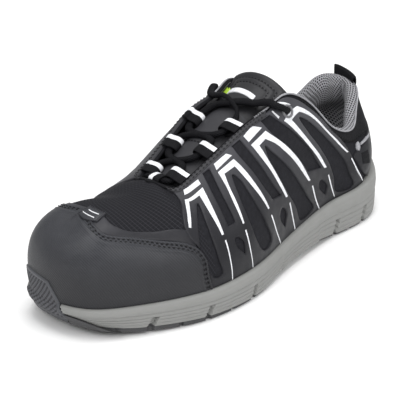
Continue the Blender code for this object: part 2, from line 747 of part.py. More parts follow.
def make_side_loop(name, t, finish):
    """Webbing loop sewn into the throat's edge, around the lace."""
    edge, along, across, up = loop_frame(t)
    lace = lace_place(t) - edge
    a, b = lace @ across, lace @ up
    wide = LACE_WIDTH / 2 + GAP + WEBBING / 2
    tall = LACE_THICKNESS / 2 + 2 * GAP + WEBBING / 2
    start = UPPER_WALL * RIM_ROUND + WEBBING / 2 + 4 * GAP
    top = [(start, -0.0002), (a * 0.45, b * 0.45 + tall * 0.75), (a, b + tall)]
    turn = [(a + wide * math.sin(k), b + tall * math.cos(k)) for k in (0.8, math.pi / 2, math.pi - 0.8)]
    bottom = [(a, b - tall), (a * 0.5, (b - tall) * 0.5 - 0.0008), (start, -UPPER_WALL + 0.0004)]
    path = [edge + across * p + up * q for p, q in top + turn + bottom]
    return ribbon(name, path, along * LOOP_WIDTH / 2, WEBBING, finish)


def make_toe_loop(finish):
    """Webbing loop at the toe end of the throat."""
    edge = skin(THROAT_END, 1.0)
    lace = toe_lace_place()
    back = np.array([-1.0, 0.0, 0.0])
    up = np.array([0.0, 0.0, 1.0])
    a = (lace - edge) @ back
    b = (lace - edge) @ up
    wide = LACE_WIDTH / 2 + GAP + WEBBING / 2
    tall = LACE_THICKNESS / 2 + GAP + WEBBING / 2
    start = 0.0022
    top = [(start, 0.0012), (a * 0.55, b + tall * 0.6), (a, b + tall)]
    turn = [(a + wide * math.sin(k), b + tall * math.cos(k)) for k in (0.8, math.pi / 2, math.pi - 0.8)]
    bottom = [(a, b - tall), (start, min(-0.0012, b - tall - 0.0004))]
    middle = np.array([0.0, -0.0010, 0.0])
    path = [edge + middle + back * p + up * q for p, q in top + turn + bottom]
    return ribbon("lace_loop_toe", path, np.array([0.0, LOOP_WIDTH * 0.3, 0.0]), WEBBING, finish)


def toe_lace_place():
    """Middle of the lace in the loop at the toe end of the throat."""
    edge = skin(THROAT_END, 1.0)
    x = edge[0] - TOE_LOOP_LENGTH + WEBBING + GAP + LACE_WIDTH / 2
    y = edge[1] - 0.0010
    return np.array([x, y, float(tongue_height(x, y)) + WEBBING + LACE_THICKNESS / 2 + LACE_REST])


def lace_strand(name, points, widths, finish):
    """Length of lace with an oval section along a smooth path; widths are shares of LACE_WIDTH."""
    path, share = smooth_path(points, widths, LACE_STEP)
    along = unit(np.gradient(path, axis=0))
    side = unit(np.cross([0.0, 0.0, 1.0], along))
    lift = unit(np.cross(along, side))
    angle = math.tau * (np.arange(6) + 0.5) / 6
    loops = []
    for p, s, u, w in zip(path, side, lift, share):
        tall = LACE_THICKNESS / 2 * min(1.0, w + 0.25)
        loops.append(p + np.outer(np.cos(angle), s * w * LACE_WIDTH / 2)
                     + np.outer(np.sin(angle), u * tall))
    return loft(name, loops, finish)


def join(item, other):
    """Joins another object into the item with a Boolean modifier."""
    other.hide_render = True
    other.display_type = "WIRE"
    modifier = item.modifiers.new("join " + other.name, "BOOLEAN")
    modifier.operation = "UNION"
    modifier.solver = "EXACT"
    modifier.object = other


def lace_through(t):
    """Two points of the lace, where it enters and leaves the loop at section t."""
    _, along, _, _ = loop_frame(t)
    ahead = along if along[0] < 0 else -along
    place = lace_place(t)
    return [place - ahead * LOOP_WIDTH * 0.62, place + ahead * LOOP_WIDTH * 0.62]


def lace_end(side):
    """Points of the lace over the throat's edge and into a top eyelet."""
    t = TOP_EYELET[0] if side > 0 else 2.0 - TOP_EYELET[0]
    h = TOP_EYELET[1]
    lift = LACE_THICKNESS / 2 + 2 * GAP
    over_rim = skin(t, 1.0) + [0, 0, lift + OVERLAY_GAP + 2 * OVERLAY]
    ring_top = OVERLAY_GAP + EYELET_HEIGHT
    return [over_rim, layer(t, h + 0.070, lift + OVERLAY_GAP + OVERLAY),
            layer(t, h + 0.032, ring_top + 0.0022), layer(t, h + 0.006, ring_top + 0.0004),
            layer(t, h, -0.0030)]


def over_tongue(a, b, share, rest):
    """Point of the lace between two others, resting over the tongue."""
    place = a + (b - a) * share
    place[2] = tongue_height(place[0], place[1]) + LACE_THICKNESS / 2 + rest
    return place


def make_lace(finish):
    """The lace: crossing strands over the tongue, from the toe loop to the top eyelets."""
    toe = toe_lace_place()
    low, middle, high = LACE_LOOPS
    back = lace_end(-1)
    front = lace_end(1)
    loops = [*lace_through(low), *lace_through(2.0 - middle), *lace_through(high)]
    first = lace_strand(
        "lace", [toe + [0, -0.0030, 0], toe + [0, 0.0055, 0], *loops,
                 over_tongue(loops[-1], back[0], 0.35, 1.5 * LACE_REST),
                 over_tongue(loops[-1], back[0], 0.75, 2.2 * LACE_REST), *back],
        [0.66] + [0.72] * 7 + [1.0, 1.0, 0.9, 0.8, 0.6, 0.5, 0.5], finish)
    loops = [*lace_through(2.0 - low), *lace_through(middle), *lace_through(2.0 - high)]
    second = lace_strand(
        "lace_second", [toe + [0, 0.0030, 0], toe + [0, -0.0055, 0], *loops,
                        over_tongue(loops[-1], front[0], 0.4, 1.5 * LACE_REST),
                        over_tongue(loops[-1], front[0], 0.75, 1.5 * LACE_REST)],
        [0.70] + [0.72] * 7 + [1.0, 0.9], finish)
    third = lace_strand(
        "lace_top", [back[0] + [0, -0.0010, 0.0006], back[0] + [0, 0.0060, 0.0014],
                     over_tongue(back[0], front[0], 0.5, 1.3 * LACE_REST), *front],
        [0.7, 0.9, 1.0, 0.95, 0.8, 0.6, 0.5, 0.5], finish)
    join(first, second)
    join(first, third)


def make_eyelet(name, t, finish):
    """Ring around the top eyelet."""
    h = TOP_EYELET[1]
    middle = skin(t, h)
    normal = skin_normal(t, h)
    side = unit(np.cross([0.0, 0.0, 1.0], normal))
    up = np.cross(normal, side)
    loops = []
    for angle in np.arange(12) * math.tau / 12:
        ray = side * math.cos(angle) + up * math.sin(angle)
        near, far = EYELET_RADIUS - GAP, EYELET_RADIUS + EYELET_RIM
        low, high = OVERLAY_GAP, OVERLAY_GAP + EYELET_HEIGHT
        profile = ((near, low), (far, low), (far - 0.0004, high), (near + 0.0002, high))
        loops.append(np.array([middle + ray * out + normal * z for out, z in profile]))
    return loft(name, loops, finish, closed=True)


def eyelet_cutter(name, t, radius):
    """Round cutter along the normal of the upper at the top eyelet."""
    h = TOP_EYELET[1]
    middle = skin(t, h)
    normal = skin_normal(t, h)
    side = unit(np.cross([0.0, 0.0, 1.0], normal))
    up = np.cross(normal, side)
    angle = math.tau * np.arange(12) / 12
    ring = np.outer(np.cos(angle), side * radius) + np.outer(np.sin(angle), up * radius)
    loops = [middle + ring + normal * z for z in (-0.008, 0.008)]
    return loft(name, loops, material(name, (0.5, 0.5, 0.5), 0.5))


def make_pull(finish):
    """Webbing pull folded over the rim of the heel."""
    t = np.linspace(-PULL_REACH, PULL_REACH, 5)
    clear = GAP * 2
    outside = [layer(t, h, clear) for h in (0.80, 0.92)]
    inside = [layer(t, h, -wall(t, h) - clear - WEBBING) for h in (0.92, 0.82)]
    edge_out = layer(t, 1.0, clear)
    edge_in = layer(t, 1.0, -wall(t, 1.0) - clear - WEBBING)
    peak = edge_out[:, 2].max() + PULL_RISE
    stations = outside + [edge_out]
    for share, height in ((0.10, 0.60), (0.35, 0.97), (0.65, 0.97), (0.90, 0.60)):
        row = edge_out + (edge_in - edge_out) * share
        row[:, 2] += (peak - row[:, 2]) * height
        stations.append(row)
    stations = stations + [edge_in] + inside
    return sheet("heel_pull", np.stack(stations), finish, WEBBING)


def main():
    clear_scene()
    rubber = material("outsole_rubber", (0.030, 0.030, 0.032), 0.75)
    foam = material("midsole_foam", (0.37, 0.37, 0.365), 0.65)
    textile = material("upper_textile", (0.030, 0.030, 0.036), 0.85)
    coated = material("coated_overlay", (0.080, 0.080, 0.090), 0.55)
    bumper = material("bumper_rubber", (0.105, 0.103, 0.112), 0.60)
    felt = material("insole_felt", (0.10, 0.10, 0.11), 0.90)
    webbing = material("lace_webbing", (0.018, 0.018, 0.021), 0.80)
    ring = material("eyelet_finish", (0.40, 0.40, 0.41), 0.45)

    make_pod("outsole_heel", 0.0, HEEL_POD_END - POD_SETBACK, rubber)
    make_pod("outsole_forefoot", FORE_POD_START + POD_SETBACK, 1.0, rubber)
    make_midsole(foam)
    make_insole(felt)
    upper = make_upper(textile)
    make_toe_cap(coated)
    make_bumper(bumper)
    cages = (make_cage("cage_outer", coated, False), make_cage("cage_inner", coated, True))
    make_heel_patch(coated)
    make_tongue(textile)
    make_toe_loop(webbing)
    for number, t in enumerate(LACE_LOOPS, 1):
        make_side_loop("lace_loop_outer_%d" % number, t, webbing)
        make_side_loop("lace_loop_inner_%d" % number, 2.0 - t, webbing)
    for side, cage, t in (("outer", cages[0], TOP_EYELET[0]), ("inner", cages[1], 2.0 - TOP_EYELET[0])):
        make_eyelet("eyelet_" + side, t, ring)
        cut(upper, eyelet_cutter("hole_cutter_" + side, t, EYELET_RADIUS))
        cut(cage, eyelet_cutter("ring_cutter_" + side, t, EYELET_RADIUS + EYELET_RIM + GAP))
    make_pull(webbing)
    make_lace(webbing)


main()
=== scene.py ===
# %% [markdown]
# # A safety sneaker, dressed for its portrait
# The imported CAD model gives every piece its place. This lesson loads it as a fixed frame and builds
# the finished surfaces over it: fabric, coated overlays, reflective stripes, stitches, foam and rubber.
# All sizes are metres: +X points to the toe, +Y to the outer side, +Z up.

# %% Load the frame
import math

import bmesh
import bpy
import numpy as np
from mathutils import Matrix, Vector, geometry, kdtree


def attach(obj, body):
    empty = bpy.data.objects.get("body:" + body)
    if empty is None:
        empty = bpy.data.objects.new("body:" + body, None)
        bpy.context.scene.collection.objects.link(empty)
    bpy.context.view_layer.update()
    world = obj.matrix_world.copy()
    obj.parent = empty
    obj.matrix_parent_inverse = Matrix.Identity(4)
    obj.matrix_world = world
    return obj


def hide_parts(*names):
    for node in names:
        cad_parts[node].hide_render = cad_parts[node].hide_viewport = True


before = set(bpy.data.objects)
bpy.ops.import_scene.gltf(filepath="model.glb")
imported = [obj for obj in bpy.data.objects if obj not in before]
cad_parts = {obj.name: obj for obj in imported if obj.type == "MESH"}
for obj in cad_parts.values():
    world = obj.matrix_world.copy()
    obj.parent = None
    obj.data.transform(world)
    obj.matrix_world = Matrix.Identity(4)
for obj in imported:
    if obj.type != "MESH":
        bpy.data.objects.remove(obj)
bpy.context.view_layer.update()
print("CAD nodes:", len(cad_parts))

# %% [markdown]
# ## The camera
# The shoe is seen from its outer front corner, a little from above, with a long lens from over a
# metre away, as a catalogue photographer would stand. The camera comes first, because every later
# choice is judged through it.

# %% The camera
AZIMUTH, ELEVATION, ROLL = math.radians(130.04), math.radians(22.96), math.radians(-0.72)
DISTANCE = 1.12819
FOCAL = 1799.8
FRAME_WIDTH = 400.0
AIM = np.array([0.103, -0.0015, 0.050])
OFF_CENTRE = np.array([21.45, -16.63])


def unit(vectors):
    return vectors / np.maximum(np.linalg.norm(vectors, axis=-1, keepdims=True), 1e-12)


def place_camera():
    back = np.array([math.sin(AZIMUTH) * math.cos(ELEVATION),
                     -math.cos(AZIMUTH) * math.cos(ELEVATION), math.sin(ELEVATION)])
    right = unit(np.cross(-back, [0, 0, 1]))
    up = np.cross(right, -back)
    ahead = unit(-back - right * OFF_CENTRE[0] / FOCAL + up * OFF_CENTRE[1] / FOCAL)
    right = unit(np.cross(ahead, [0, 0, 1]))
    up = np.cross(right, ahead)
    turned = right * math.cos(ROLL) + up * math.sin(ROLL)
    up = up * math.cos(ROLL) - right * math.sin(ROLL)
    camera = bpy.data.objects.new("portrait_camera", bpy.data.cameras.new("portrait_camera"))
    camera.data.sensor_width = 36.0
    camera.data.lens = FOCAL * 36.0 / FRAME_WIDTH
    rows = np.column_stack([turned, up, -ahead, AIM + back * DISTANCE])
    camera.matrix_world = Matrix([*[list(row) for row in rows], [0, 0, 0, 1]])
    bpy.context.collection.objects.link(camera)
    bpy.context.scene.camera = camera
    return camera


camera = place_camera()
print("lens %.1f mm, %.2f m away" % (camera.data.lens, DISTANCE))

# %% [markdown]
# ## The last
# A shoe is built on a last, a solid foot form. Here the last is a table: each row is one section, with
# the line where the upper meets the sole (the feather line) and the upper's own top edge. A smooth
# closed curve runs through the rows, and a small arch, a cubic curve, spans each section. Everything
# on the upper is then placed by two shares: t along the shoe (0 heel, 1 toe, 2 back at the heel along
# the inner side) and h up the wall (0 feather line, 1 top edge).

# %% The section table
SHOE_LENGTH = 0.290
BALL_WIDTH = 0.1035
HEEL_WIDTH = 0.070
COLLAR_WIDTH = 0.056
THROAT_WIDTH = 0.041
HEEL_HEIGHT = 0.083
INSTEP_HEIGHT = 0.105
TOE_HEIGHT = 0.071
HEEL_LIFT = 0.036
FORE_LIFT = 0.0195
THROAT_END = 0.690

COLUMNS = ("u", "x", "outer", "inner", "lift", "top_x", "top_outer", "top_inner",
           "rim_outer", "rim_inner", "rise", "bulge", "crest", "slope")
HEEL_ROWS = (
    (0.000, -0.1065, 0.000, 0.000, 1.00, -0.098, 0.000, 0.000, 0.990, 0.990, 0.50, 0.0080, 0.30, 88),
    (0.055, -0.0890, 0.210, -0.235, 0.93, -0.084, 0.180, -0.220, 0.930, 1.010, 0.48, 0.0080, 0.30, 86),
    (0.110, -0.045, 0.400, -0.415, 0.81, -0.048, 0.300, -0.330, 0.830, 0.990, 0.45, 0.0065, 0.30, 85),
    (0.180, 0.035, 0.493, -0.486, 0.72, 0.004, 0.438, -0.473, 0.740, 0.840, 0.42, 0.0050, 0.30, 82),
    (0.255, 0.128, 0.486, -0.464, 0.70, 0.097, 0.500, -0.527, 0.875, 0.920, 0.42, 0.0042, 0.30, 78),
)
THROAT_ROWS = (
    (0.325, 0.224, 0.358, -0.304, 1.20, 0.166, 0.634, -0.671, 0.890, 0.900, 0.42, 0.0040, 0.32, 66),
    (0.385, 0.300, 0.391, -0.324, 1.10, 0.236, 0.549, -0.598, 1.000, 0.990, 0.42, 0.0040, 0.34, 55),
    (0.440, 0.362, 0.427, -0.353, 1.04, 0.286, 0.476, -0.549, 0.948, 0.952, 0.43, 0.0040, 0.36, 48),
    (0.500, 0.424, 0.469, -0.401, 1.015, 0.360, 0.459, -0.537, 0.900, 0.910, 0.43, 0.0034, 0.36, 42),
    (0.560, 0.486, 0.495, -0.449, 1.01, 0.447, 0.415, -0.488, 0.803, 0.800, 0.45, 0.0029, 0.35, 36),
    (0.615, 0.541, 0.496, -0.488, 0.995, 0.528, 0.329, -0.427, 0.691, 0.697, 0.48, 0.0030, 0.37, 28),
    (0.650, 0.579, 0.486, -0.507, 0.985, 0.566, 0.268, -0.354, 0.662, 0.670, 0.51, 0.0034, 0.40, 22),
)
TOE_ROWS = (
    (0.690, 0.621, 0.462, -0.517, 0.99, 0.576, -0.061, -0.061, 1.018, 1.018, 0.54, 0.0038, 0.44, 2.5),
    (0.770, 0.697, 0.372, -0.498, 0.99, 0.631, -0.085, -0.085, 0.983, 0.983, 0.56, 0.0042, 0.49, 1.5),
    (0.845, 0.766, 0.261, -0.430, 1.00, 0.686, -0.134, -0.134, 0.993, 0.993, 0.60, 0.0048, 0.52, 0),
    (0.910, 0.816, 0.150, -0.343, 1.02, 0.736, -0.183, -0.183, 0.986, 0.986, 0.63, 0.0050, 0.53, 5),
    (0.960, 0.836, 0.030, -0.232, 1.02, 0.759, -0.207, -0.207, 0.958, 0.958, 0.64, 0.0048, 0.52, 14),
    (1.000, 0.8425, -0.10, -0.100, 1.02, 0.767, -0.232, -0.232, 0.944, 0.944, 0.65, 0.0045, 0.52, 20),
)
SECTION_GROUPS = (
    (HEEL_ROWS, HEEL_WIDTH, COLLAR_WIDTH, HEEL_HEIGHT, HEEL_LIFT),
    (THROAT_ROWS, BALL_WIDTH, THROAT_WIDTH, INSTEP_HEIGHT, FORE_LIFT),
    (TOE_ROWS, BALL_WIDTH, THROAT_WIDTH, TOE_HEIGHT, FORE_LIFT),
)
print("sections:", sum(len(group[0]) for group in SECTION_GROUPS))

# %% [markdown]
# The rows are joined by a closed spline of period 2, so that the heel and the toe have no kink. The
# inner side runs through the same rows backwards; its shoulder over the toes is set a little lower.

# %% The closed curve through the sections
def periodic_spline(keys, values):
    """Smooth closed curve of period 2 through the values at the keys."""
    count = len(keys)
    step = np.diff(np.append(keys, keys[0] + 2.0))
    after = np.roll(np.arange(count), -1)
    before = np.roll(np.arange(count), 1)
    system = np.zeros((count, count))
    for i in range(count):
        system[i, before[i]] += step[before[i]]
        system[i, i] += 2 * (step[before[i]] + step[i])
        system[i, after[i]] += step[i]
    column = step[:, None]
    bend = 6 * ((values[after] - values) / column - (values - values[before]) / column[before])
    curve = np.linalg.solve(system, bend)

    def at(t):
        t = np.mod(t, 2.0)
        i = np.clip(np.searchsorted(keys, t, side="right") - 1, 0, count - 1)
        j = after[i]
        span = step[i][..., None]
        left = (keys[i] + step[i] - t)[..., None]
        right = (t - keys[i])[..., None]
        cubic = (curve[i] * left**3 + curve[j] * right**3) / (6 * span)
        line = (values[i] / span - curve[i] * span / 6) * left
        return cubic + line + (values[j] / span - curve[j] * span / 6) * right

    return at


INNER_SHOULDER = {0.690: -0.10, 0.770: -0.10}


def section_spline():
    outer, inner = [], []
    for rows, width, top_width, height, lift in SECTION_GROUPS:
        for row in rows:
            s = dict(zip(COLUMNS, row))
            form = (s["rise"], s["bulge"], s["crest"], math.radians(s["slope"]))
            x, top_x = s["x"] * SHOE_LENGTH, s["top_x"] * SHOE_LENGTH
            outer.append((s["u"], x, s["outer"] * width, s["lift"] * lift,
                          top_x, s["top_outer"] * top_width, s["rim_outer"] * height, *form))
            lower = INNER_SHOULDER.get(s["u"], 0.0)
            form = (s["rise"] + lower, s["bulge"], s["crest"] + lower, math.radians(s["slope"]))
            inner.append((2 - s["u"], x, s["inner"] * width, s["lift"] * lift,
                          top_x, s["top_inner"] * top_width, s["rim_inner"] * height, *form))
    table = np.array(outer + inner[-2:0:-1])
    return periodic_spline(table[:, 0], table[:, 1:])


SECTION = section_spline()
print("toe of the feather line at x = %.1f mm" % (1000 * SECTION(np.array(1.0))[0]))

# %% [markdown]
# Everything on the upper asks for its points here: on the skin itself, or at a height over it.

# %% Points on the upper
def feather_normal(t):
    """Horizontal unit vector out of the feather line."""
    along = SECTION(t + 0.001)[..., :2] - SECTION(t - 0.001)[..., :2]
    return unit(np.stack([-along[..., 1], along[..., 0]], -1))


def on_ridge(t):
    return np.abs(np.mod(t, 2.0) - 1.0) < 1.0 - THROAT_END + 1e-6


def skin(t, h):
    """Point of the upper's outer face."""
    t, h = np.broadcast_arrays(np.asarray(t, float), np.asarray(h, float))
    values = SECTION(t)
    shared = (values + SECTION(2.0 - t)) / 2
    feather = values[..., 0:3]
    edge = np.where(on_ridge(t)[..., None], shared[..., 3:6], values[..., 3:6])
    rise, bulge, crest, slope = (values[..., k, None] for k in (6, 7, 8, 9))
    up = np.array([0.0, 0.0, 1.0])
    span = feather - edge
    length = np.linalg.norm(span, axis=-1, keepdims=True)
    side = unit(span * [1.0, 1.0, 0.0])
    out = np.concatenate([feather_normal(t), np.zeros(t.shape + (1,))], -1)
    low = feather + out * bulge - span * up * rise
    high = edge + crest * length * (side * np.cos(slope) - up * np.sin(slope))
    h = h[..., None]
    return (1 - h)**3 * feather + 3 * (1 - h)**2 * h * low + 3 * (1 - h) * h * h * high + h**3 * edge


def skin_normal(t, h):
    """Outward unit normal of the upper's outer face."""
    step = 0.002
    t, h = np.broadcast_arrays(np.asarray(t, float), np.asarray(h, float))
    inside = np.clip(h, step, 0.97)

    def facing(t):
        along = skin(t + step, inside) - skin(t - step, inside)
        upward = skin(t, inside + step) - skin(t, inside - step)
        return unit(np.cross(upward, along))

    normal = facing(t)
    both = unit(normal + facing(2.0 - t))
    return np.where((on_ridge(t) & (h > 0.99))[..., None], both, normal)


def layer(t, h, height):
    """Point at a height over the upper's outer face."""
    height = np.broadcast_to(np.asarray(height, float), np.broadcast(t, h).shape)
    return skin(t, h) + skin_normal(t, h) * height[..., None]


def smooth(value, low, high):
    share = np.clip((np.asarray(value, float) - low) / (high - low), 0.0, 1.0)
    return share * share * (3 - 2 * share)


print("height at the collar's front corner: %.1f mm" % (1000 * skin(0.385, 1.0)[2]))

# %% [markdown]
# ## Finishes
# Real materials are told apart by small things: a weave, a grain, a sheen at grazing angles. Effects
# shared by several finishes are node groups that put out only masks and bump heights. Each finish
# then keeps its own Principled shader. Patterns read the UV map, which every piece carries in
# centimetres over its own surface, so a thread is a thread's width everywhere.


# %% Node helpers
def new_group(name, inputs, outputs):
    """Node group with float inputs (name: default) and float outputs; returns it with its ends."""
    group = bpy.data.node_groups.new(name, "ShaderNodeTree")
    group.interface.new_socket("Vector", in_out="INPUT", socket_type="NodeSocketVector")
    for label, default in inputs.items():
        socket = group.interface.new_socket(label, in_out="INPUT", socket_type="NodeSocketFloat")
        socket.default_value = default
    for label in outputs:
        group.interface.new_socket(label, in_out="OUTPUT", socket_type="NodeSocketFloat")
    return group, group.nodes.new("NodeGroupInput"), group.nodes.new("NodeGroupOutput")


def feed(tree, source, socket):
    """Links an output into a socket, or sets the socket when the source is a plain value."""
    if isinstance(source, bpy.types.NodeSocket):
        tree.links.new(source, socket)
    else:
        socket.default_value = source


def sums(tree, operation, a, b=0.0, c=0.0):
    """Math node; its output."""
    node = tree.nodes.new("ShaderNodeMath")
    node.operation = operation
    for socket, source in zip(node.inputs, (a, b, c)):
        feed(tree, source, socket)
    return node.outputs[0]


def ramp(tree, value, low, high, start=0.0, end=1.0):
    """Smooth step of a value from low to high."""
    node = tree.nodes.new("ShaderNodeMapRange")
    node.interpolation_type = "SMOOTHSTEP"
    for socket, source in zip(node.inputs, (value, low, high, start, end)):
        feed(tree, source, socket)
    return node.outputs[0]


def noise(tree, vector, scale, detail=2.0, roughness=0.5):
    node = tree.nodes.new("ShaderNodeTexNoise")
    feed(tree, vector, node.inputs["Vector"])
    node.inputs["Scale"].default_value = scale
    node.inputs["Detail"].default_value = detail
    node.inputs["Roughness"].default_value = roughness
    return node.outputs["Fac"]


def turned(group, start):
    """Parts of a group's vector, turned by its slant."""
    turn = group.nodes.new("ShaderNodeVectorRotate")
    turn.rotation_type = "Z_AXIS"
    feed(group, start.outputs["Vector"], turn.inputs["Vector"])
    feed(group, start.outputs["Slant"], turn.inputs["Angle"])
    split = group.nodes.new("ShaderNodeSeparateXYZ")
    feed(group, turn.outputs[0], split.inputs[0])
    return split.outputs


print("node helpers ready")

# %% [markdown]
# Four patterns serve all finishes: a plain weave, fine lines, the holes of a spacer mesh, and a grain.

# %% Shared effects
def weave_group():
    """Plain weave: threads over and under, as a bump height, with a slow unevenness."""
    group, start, end = new_group("weave", {"Threads per cm": 14.0, "Slant": 0.0}, ("Height", "Shade"))
    place = turned(group, start)
    pitch = sums(group, "MULTIPLY", start.outputs["Threads per cm"], math.pi)
    warp = sums(group, "SINE", sums(group, "MULTIPLY", place[0], pitch))
    weft = sums(group, "SINE", sums(group, "MULTIPLY", place[1], pitch))
    height = sums(group, "ABSOLUTE", sums(group, "MULTIPLY", warp, weft))
    feed(group, sums(group, "SUBTRACT", 1.0, height), end.inputs["Height"])
    feed(group, noise(group, start.outputs["Vector"], 3.0, 4.0, 0.6), end.inputs["Shade"])
    return group


def lines_group():
    """Fine parallel lines, such as embossed film or ripstop ribs."""
    group, start, end = new_group("fine lines", {"Lines per cm": 10.0, "Slant": 0.6, "Width": 0.5},
                                  ("Height", "Mask"))
    place = turned(group, start)
    phase = sums(group, "FRACT", sums(group, "MULTIPLY", place[0], start.outputs["Lines per cm"]))
    away = sums(group, "ABSOLUTE", sums(group, "SUBTRACT", phase, 0.5))
    half = sums(group, "MULTIPLY", start.outputs["Width"], 0.5)
    mask = ramp(group, away, half, sums(group, "MULTIPLY", half, 0.4))
    feed(group, mask, end.inputs["Height"])
    feed(group, mask, end.inputs["Mask"])
    return group


def holes_group():
    """Spacer mesh: rows of round holes, every second row shifted by half a pitch."""
    group, start, end = new_group("spacer holes", {"Holes per cm": 4.2, "Radius": 0.30}, ("Hole", "Knit"))
    split = group.nodes.new("ShaderNodeSeparateXYZ")
    feed(group, start.outputs["Vector"], split.inputs[0])
    row = sums(group, "MULTIPLY", split.outputs[1], start.outputs["Holes per cm"])
    odd = sums(group, "MODULO", sums(group, "FLOOR", row), 2.0)
    along = sums(group, "MULTIPLY", split.outputs[0], start.outputs["Holes per cm"])
    along = sums(group, "ADD", along, sums(group, "MULTIPLY", sums(group, "ABSOLUTE", odd), 0.5))
    u = sums(group, "SUBTRACT", sums(group, "FRACT", along), 0.5)
    v = sums(group, "SUBTRACT", sums(group, "FRACT", row), 0.5)
    reach = sums(group, "SQRT", sums(group, "ADD", sums(group, "MULTIPLY", u, u),
                                     sums(group, "MULTIPLY", v, v)))
    inner = sums(group, "MULTIPLY", start.outputs["Radius"], 0.72)
    feed(group, ramp(group, reach, inner, start.outputs["Radius"], 1.0, 0.0), end.inputs["Hole"])
    feed(group, noise(group, start.outputs["Vector"], 40.0, 3.0, 0.7), end.inputs["Knit"])
    return group


def grain_group():
    """Leather-like grain: soft cells with fine creases, and a slow stain."""
    group, start, end = new_group("grain", {"Scale": 30.0}, ("Height", "Stain"))
    cells = group.nodes.new("ShaderNodeTexVoronoi")
    cells.feature = "SMOOTH_F1"
    feed(group, start.outputs["Vector"], cells.inputs["Vector"])
    feed(group, start.outputs["Scale"], cells.inputs["Scale"])
    fine = noise(group, start.outputs["Vector"], 60.0, 3.0, 0.6)
    feed(group, sums(group, "MULTIPLY_ADD", fine, 0.35, cells.outputs["Distance"]), end.inputs["Height"])
    feed(group, noise(group, start.outputs["Vector"], 1.3, 5.0, 0.55), end.inputs["Stain"])
    return group


GROUPS = {"weave": weave_group(), "lines": lines_group(), "holes": holes_group(), "grain": grain_group()}
print("shared effects:", ", ".join(GROUPS))

# %% [markdown]
# A finish collects its colours and bumps one after another, and each call adds its nodes.

# %% A finish
class Finish:
    """A material being made: a Principled shader, its colour mix and its bump."""

    def __init__(self, name, color, roughness, **sockets):
        self.material = bpy.data.materials.new(name)
        self.material.use_nodes = True
        self.tree = self.material.node_tree
        self.shader = self.tree.nodes["Principled BSDF"]
        self.shader.inputs["Base Color"].default_value = (*color, 1.0)
        self.shader.inputs["Roughness"].default_value = roughness
        for label, value in sockets.items():
            self.shader.inputs[label.replace("_", " ")].default_value = value
        self.color = (*color, 1.0)
        self.uv = self.tree.nodes.new("ShaderNodeUVMap")
        self.uv.uv_map = "UVMap"
        self.place = self.tree.nodes.new("ShaderNodeTexCoord")

    def effect(self, name, vector=None, **values):
        """Places a shared effect and returns its outputs by name."""
        node = self.tree.nodes.new("ShaderNodeGroup")
        node.node_tree = GROUPS[name]
        feed(self.tree, vector or self.uv.outputs["UV"], node.inputs["Vector"])
        for label, value in values.items():
            node.inputs[label.replace("_", " ")].default_value = value
        return node.outputs

    def height(self, low, high, start, end):
        """A value that follows the height over the floor."""
        split = self.tree.nodes.new("ShaderNodeSeparateXYZ")
        feed(self.tree, self.place.outputs["Object"], split.inputs[0])
        return ramp(self.tree, split.outputs[2], low, high, start, end)

    def mix(self, mask, other):
        """Mixes another colour into the base colour by a mask."""
        node = self.tree.nodes.new("ShaderNodeMix")
        node.data_type = "RGBA"
        feed(self.tree, mask, node.inputs["Factor"])
        feed(self.tree, self.color, node.inputs[6])
        feed(self.tree, (*other, 1.0), node.inputs[7])
        self.color = node.outputs[2]
        self.tree.links.new(self.color, self.shader.inputs["Base Color"])

    def tint(self, mask, share, other):
        """Mixes by a share of a mask."""
        self.mix(sums(self.tree, "MULTIPLY", mask, share), other)

    def stain(self, value, low, high, share, other):
        """Mixes by a slow value, up to a share."""
        self.mix(ramp(self.tree, value, low, high, 0.0, share), other)

    def rough(self, value, low, high):
        """Lets the roughness follow a value."""
        self.tree.links.new(ramp(self.tree, value, 0.25, 0.75, low, high), self.shader.inputs["Roughness"])

    def bump(self, height, distance, strength=1.0):
        node = self.tree.nodes.new("ShaderNodeBump")
        node.inputs["Distance"].default_value = distance
        node.inputs["Strength"].default_value = strength
        feed(self.tree, height, node.inputs["Height"])
        old = self.shader.inputs["Normal"]
        if old.links:
            self.tree.links.new(old.links[0].from_socket, node.inputs["Normal"])
        self.tree.links.new(node.outputs["Normal"], old)


def woven(name, color, light, threads, slant=0.0, roughness=0.85, depth=0.00012, gloss=0.25):
    """A woven finish: threads in the bump, and a lighter shade on their crowns."""
    made = Finish(name, color, roughness, Specular_IOR_Level=gloss)
    cloth = made.effect("weave", Threads_per_cm=threads, Slant=slant)
    made.mix(ramp(made.tree, cloth["Height"], 0.35, 0.95), light)
    made.stain(cloth["Shade"], 0.62, 0.40, 0.35, tuple(c * 0.6 for c in color))
    made.bump(cloth["Height"], depth, 0.7)
    return made


def grained(name, color, light, scale, roughness, gloss, depth, low=0.40, share=0.5, strength=0.4):
    """A moulded or coated finish: a soft grain in the bump, and a slow stain of a lighter shade."""
    made = Finish(name, color, roughness, Specular_IOR_Level=gloss)
    made.grain = made.effect("grain", Scale=scale)
    made.stain(made.grain["Stain"], low, 0.70, share, light)
    made.bump(made.grain["Height"], depth, strength)
    return made


print("finish maker ready")

# %% [markdown]
# The dark finishes differ by little, and cloth is the darkest and dullest of them. Each cloth has its own
# count of threads; the vamp's ribs are drawn as fine lines, with a few stray ones among them.

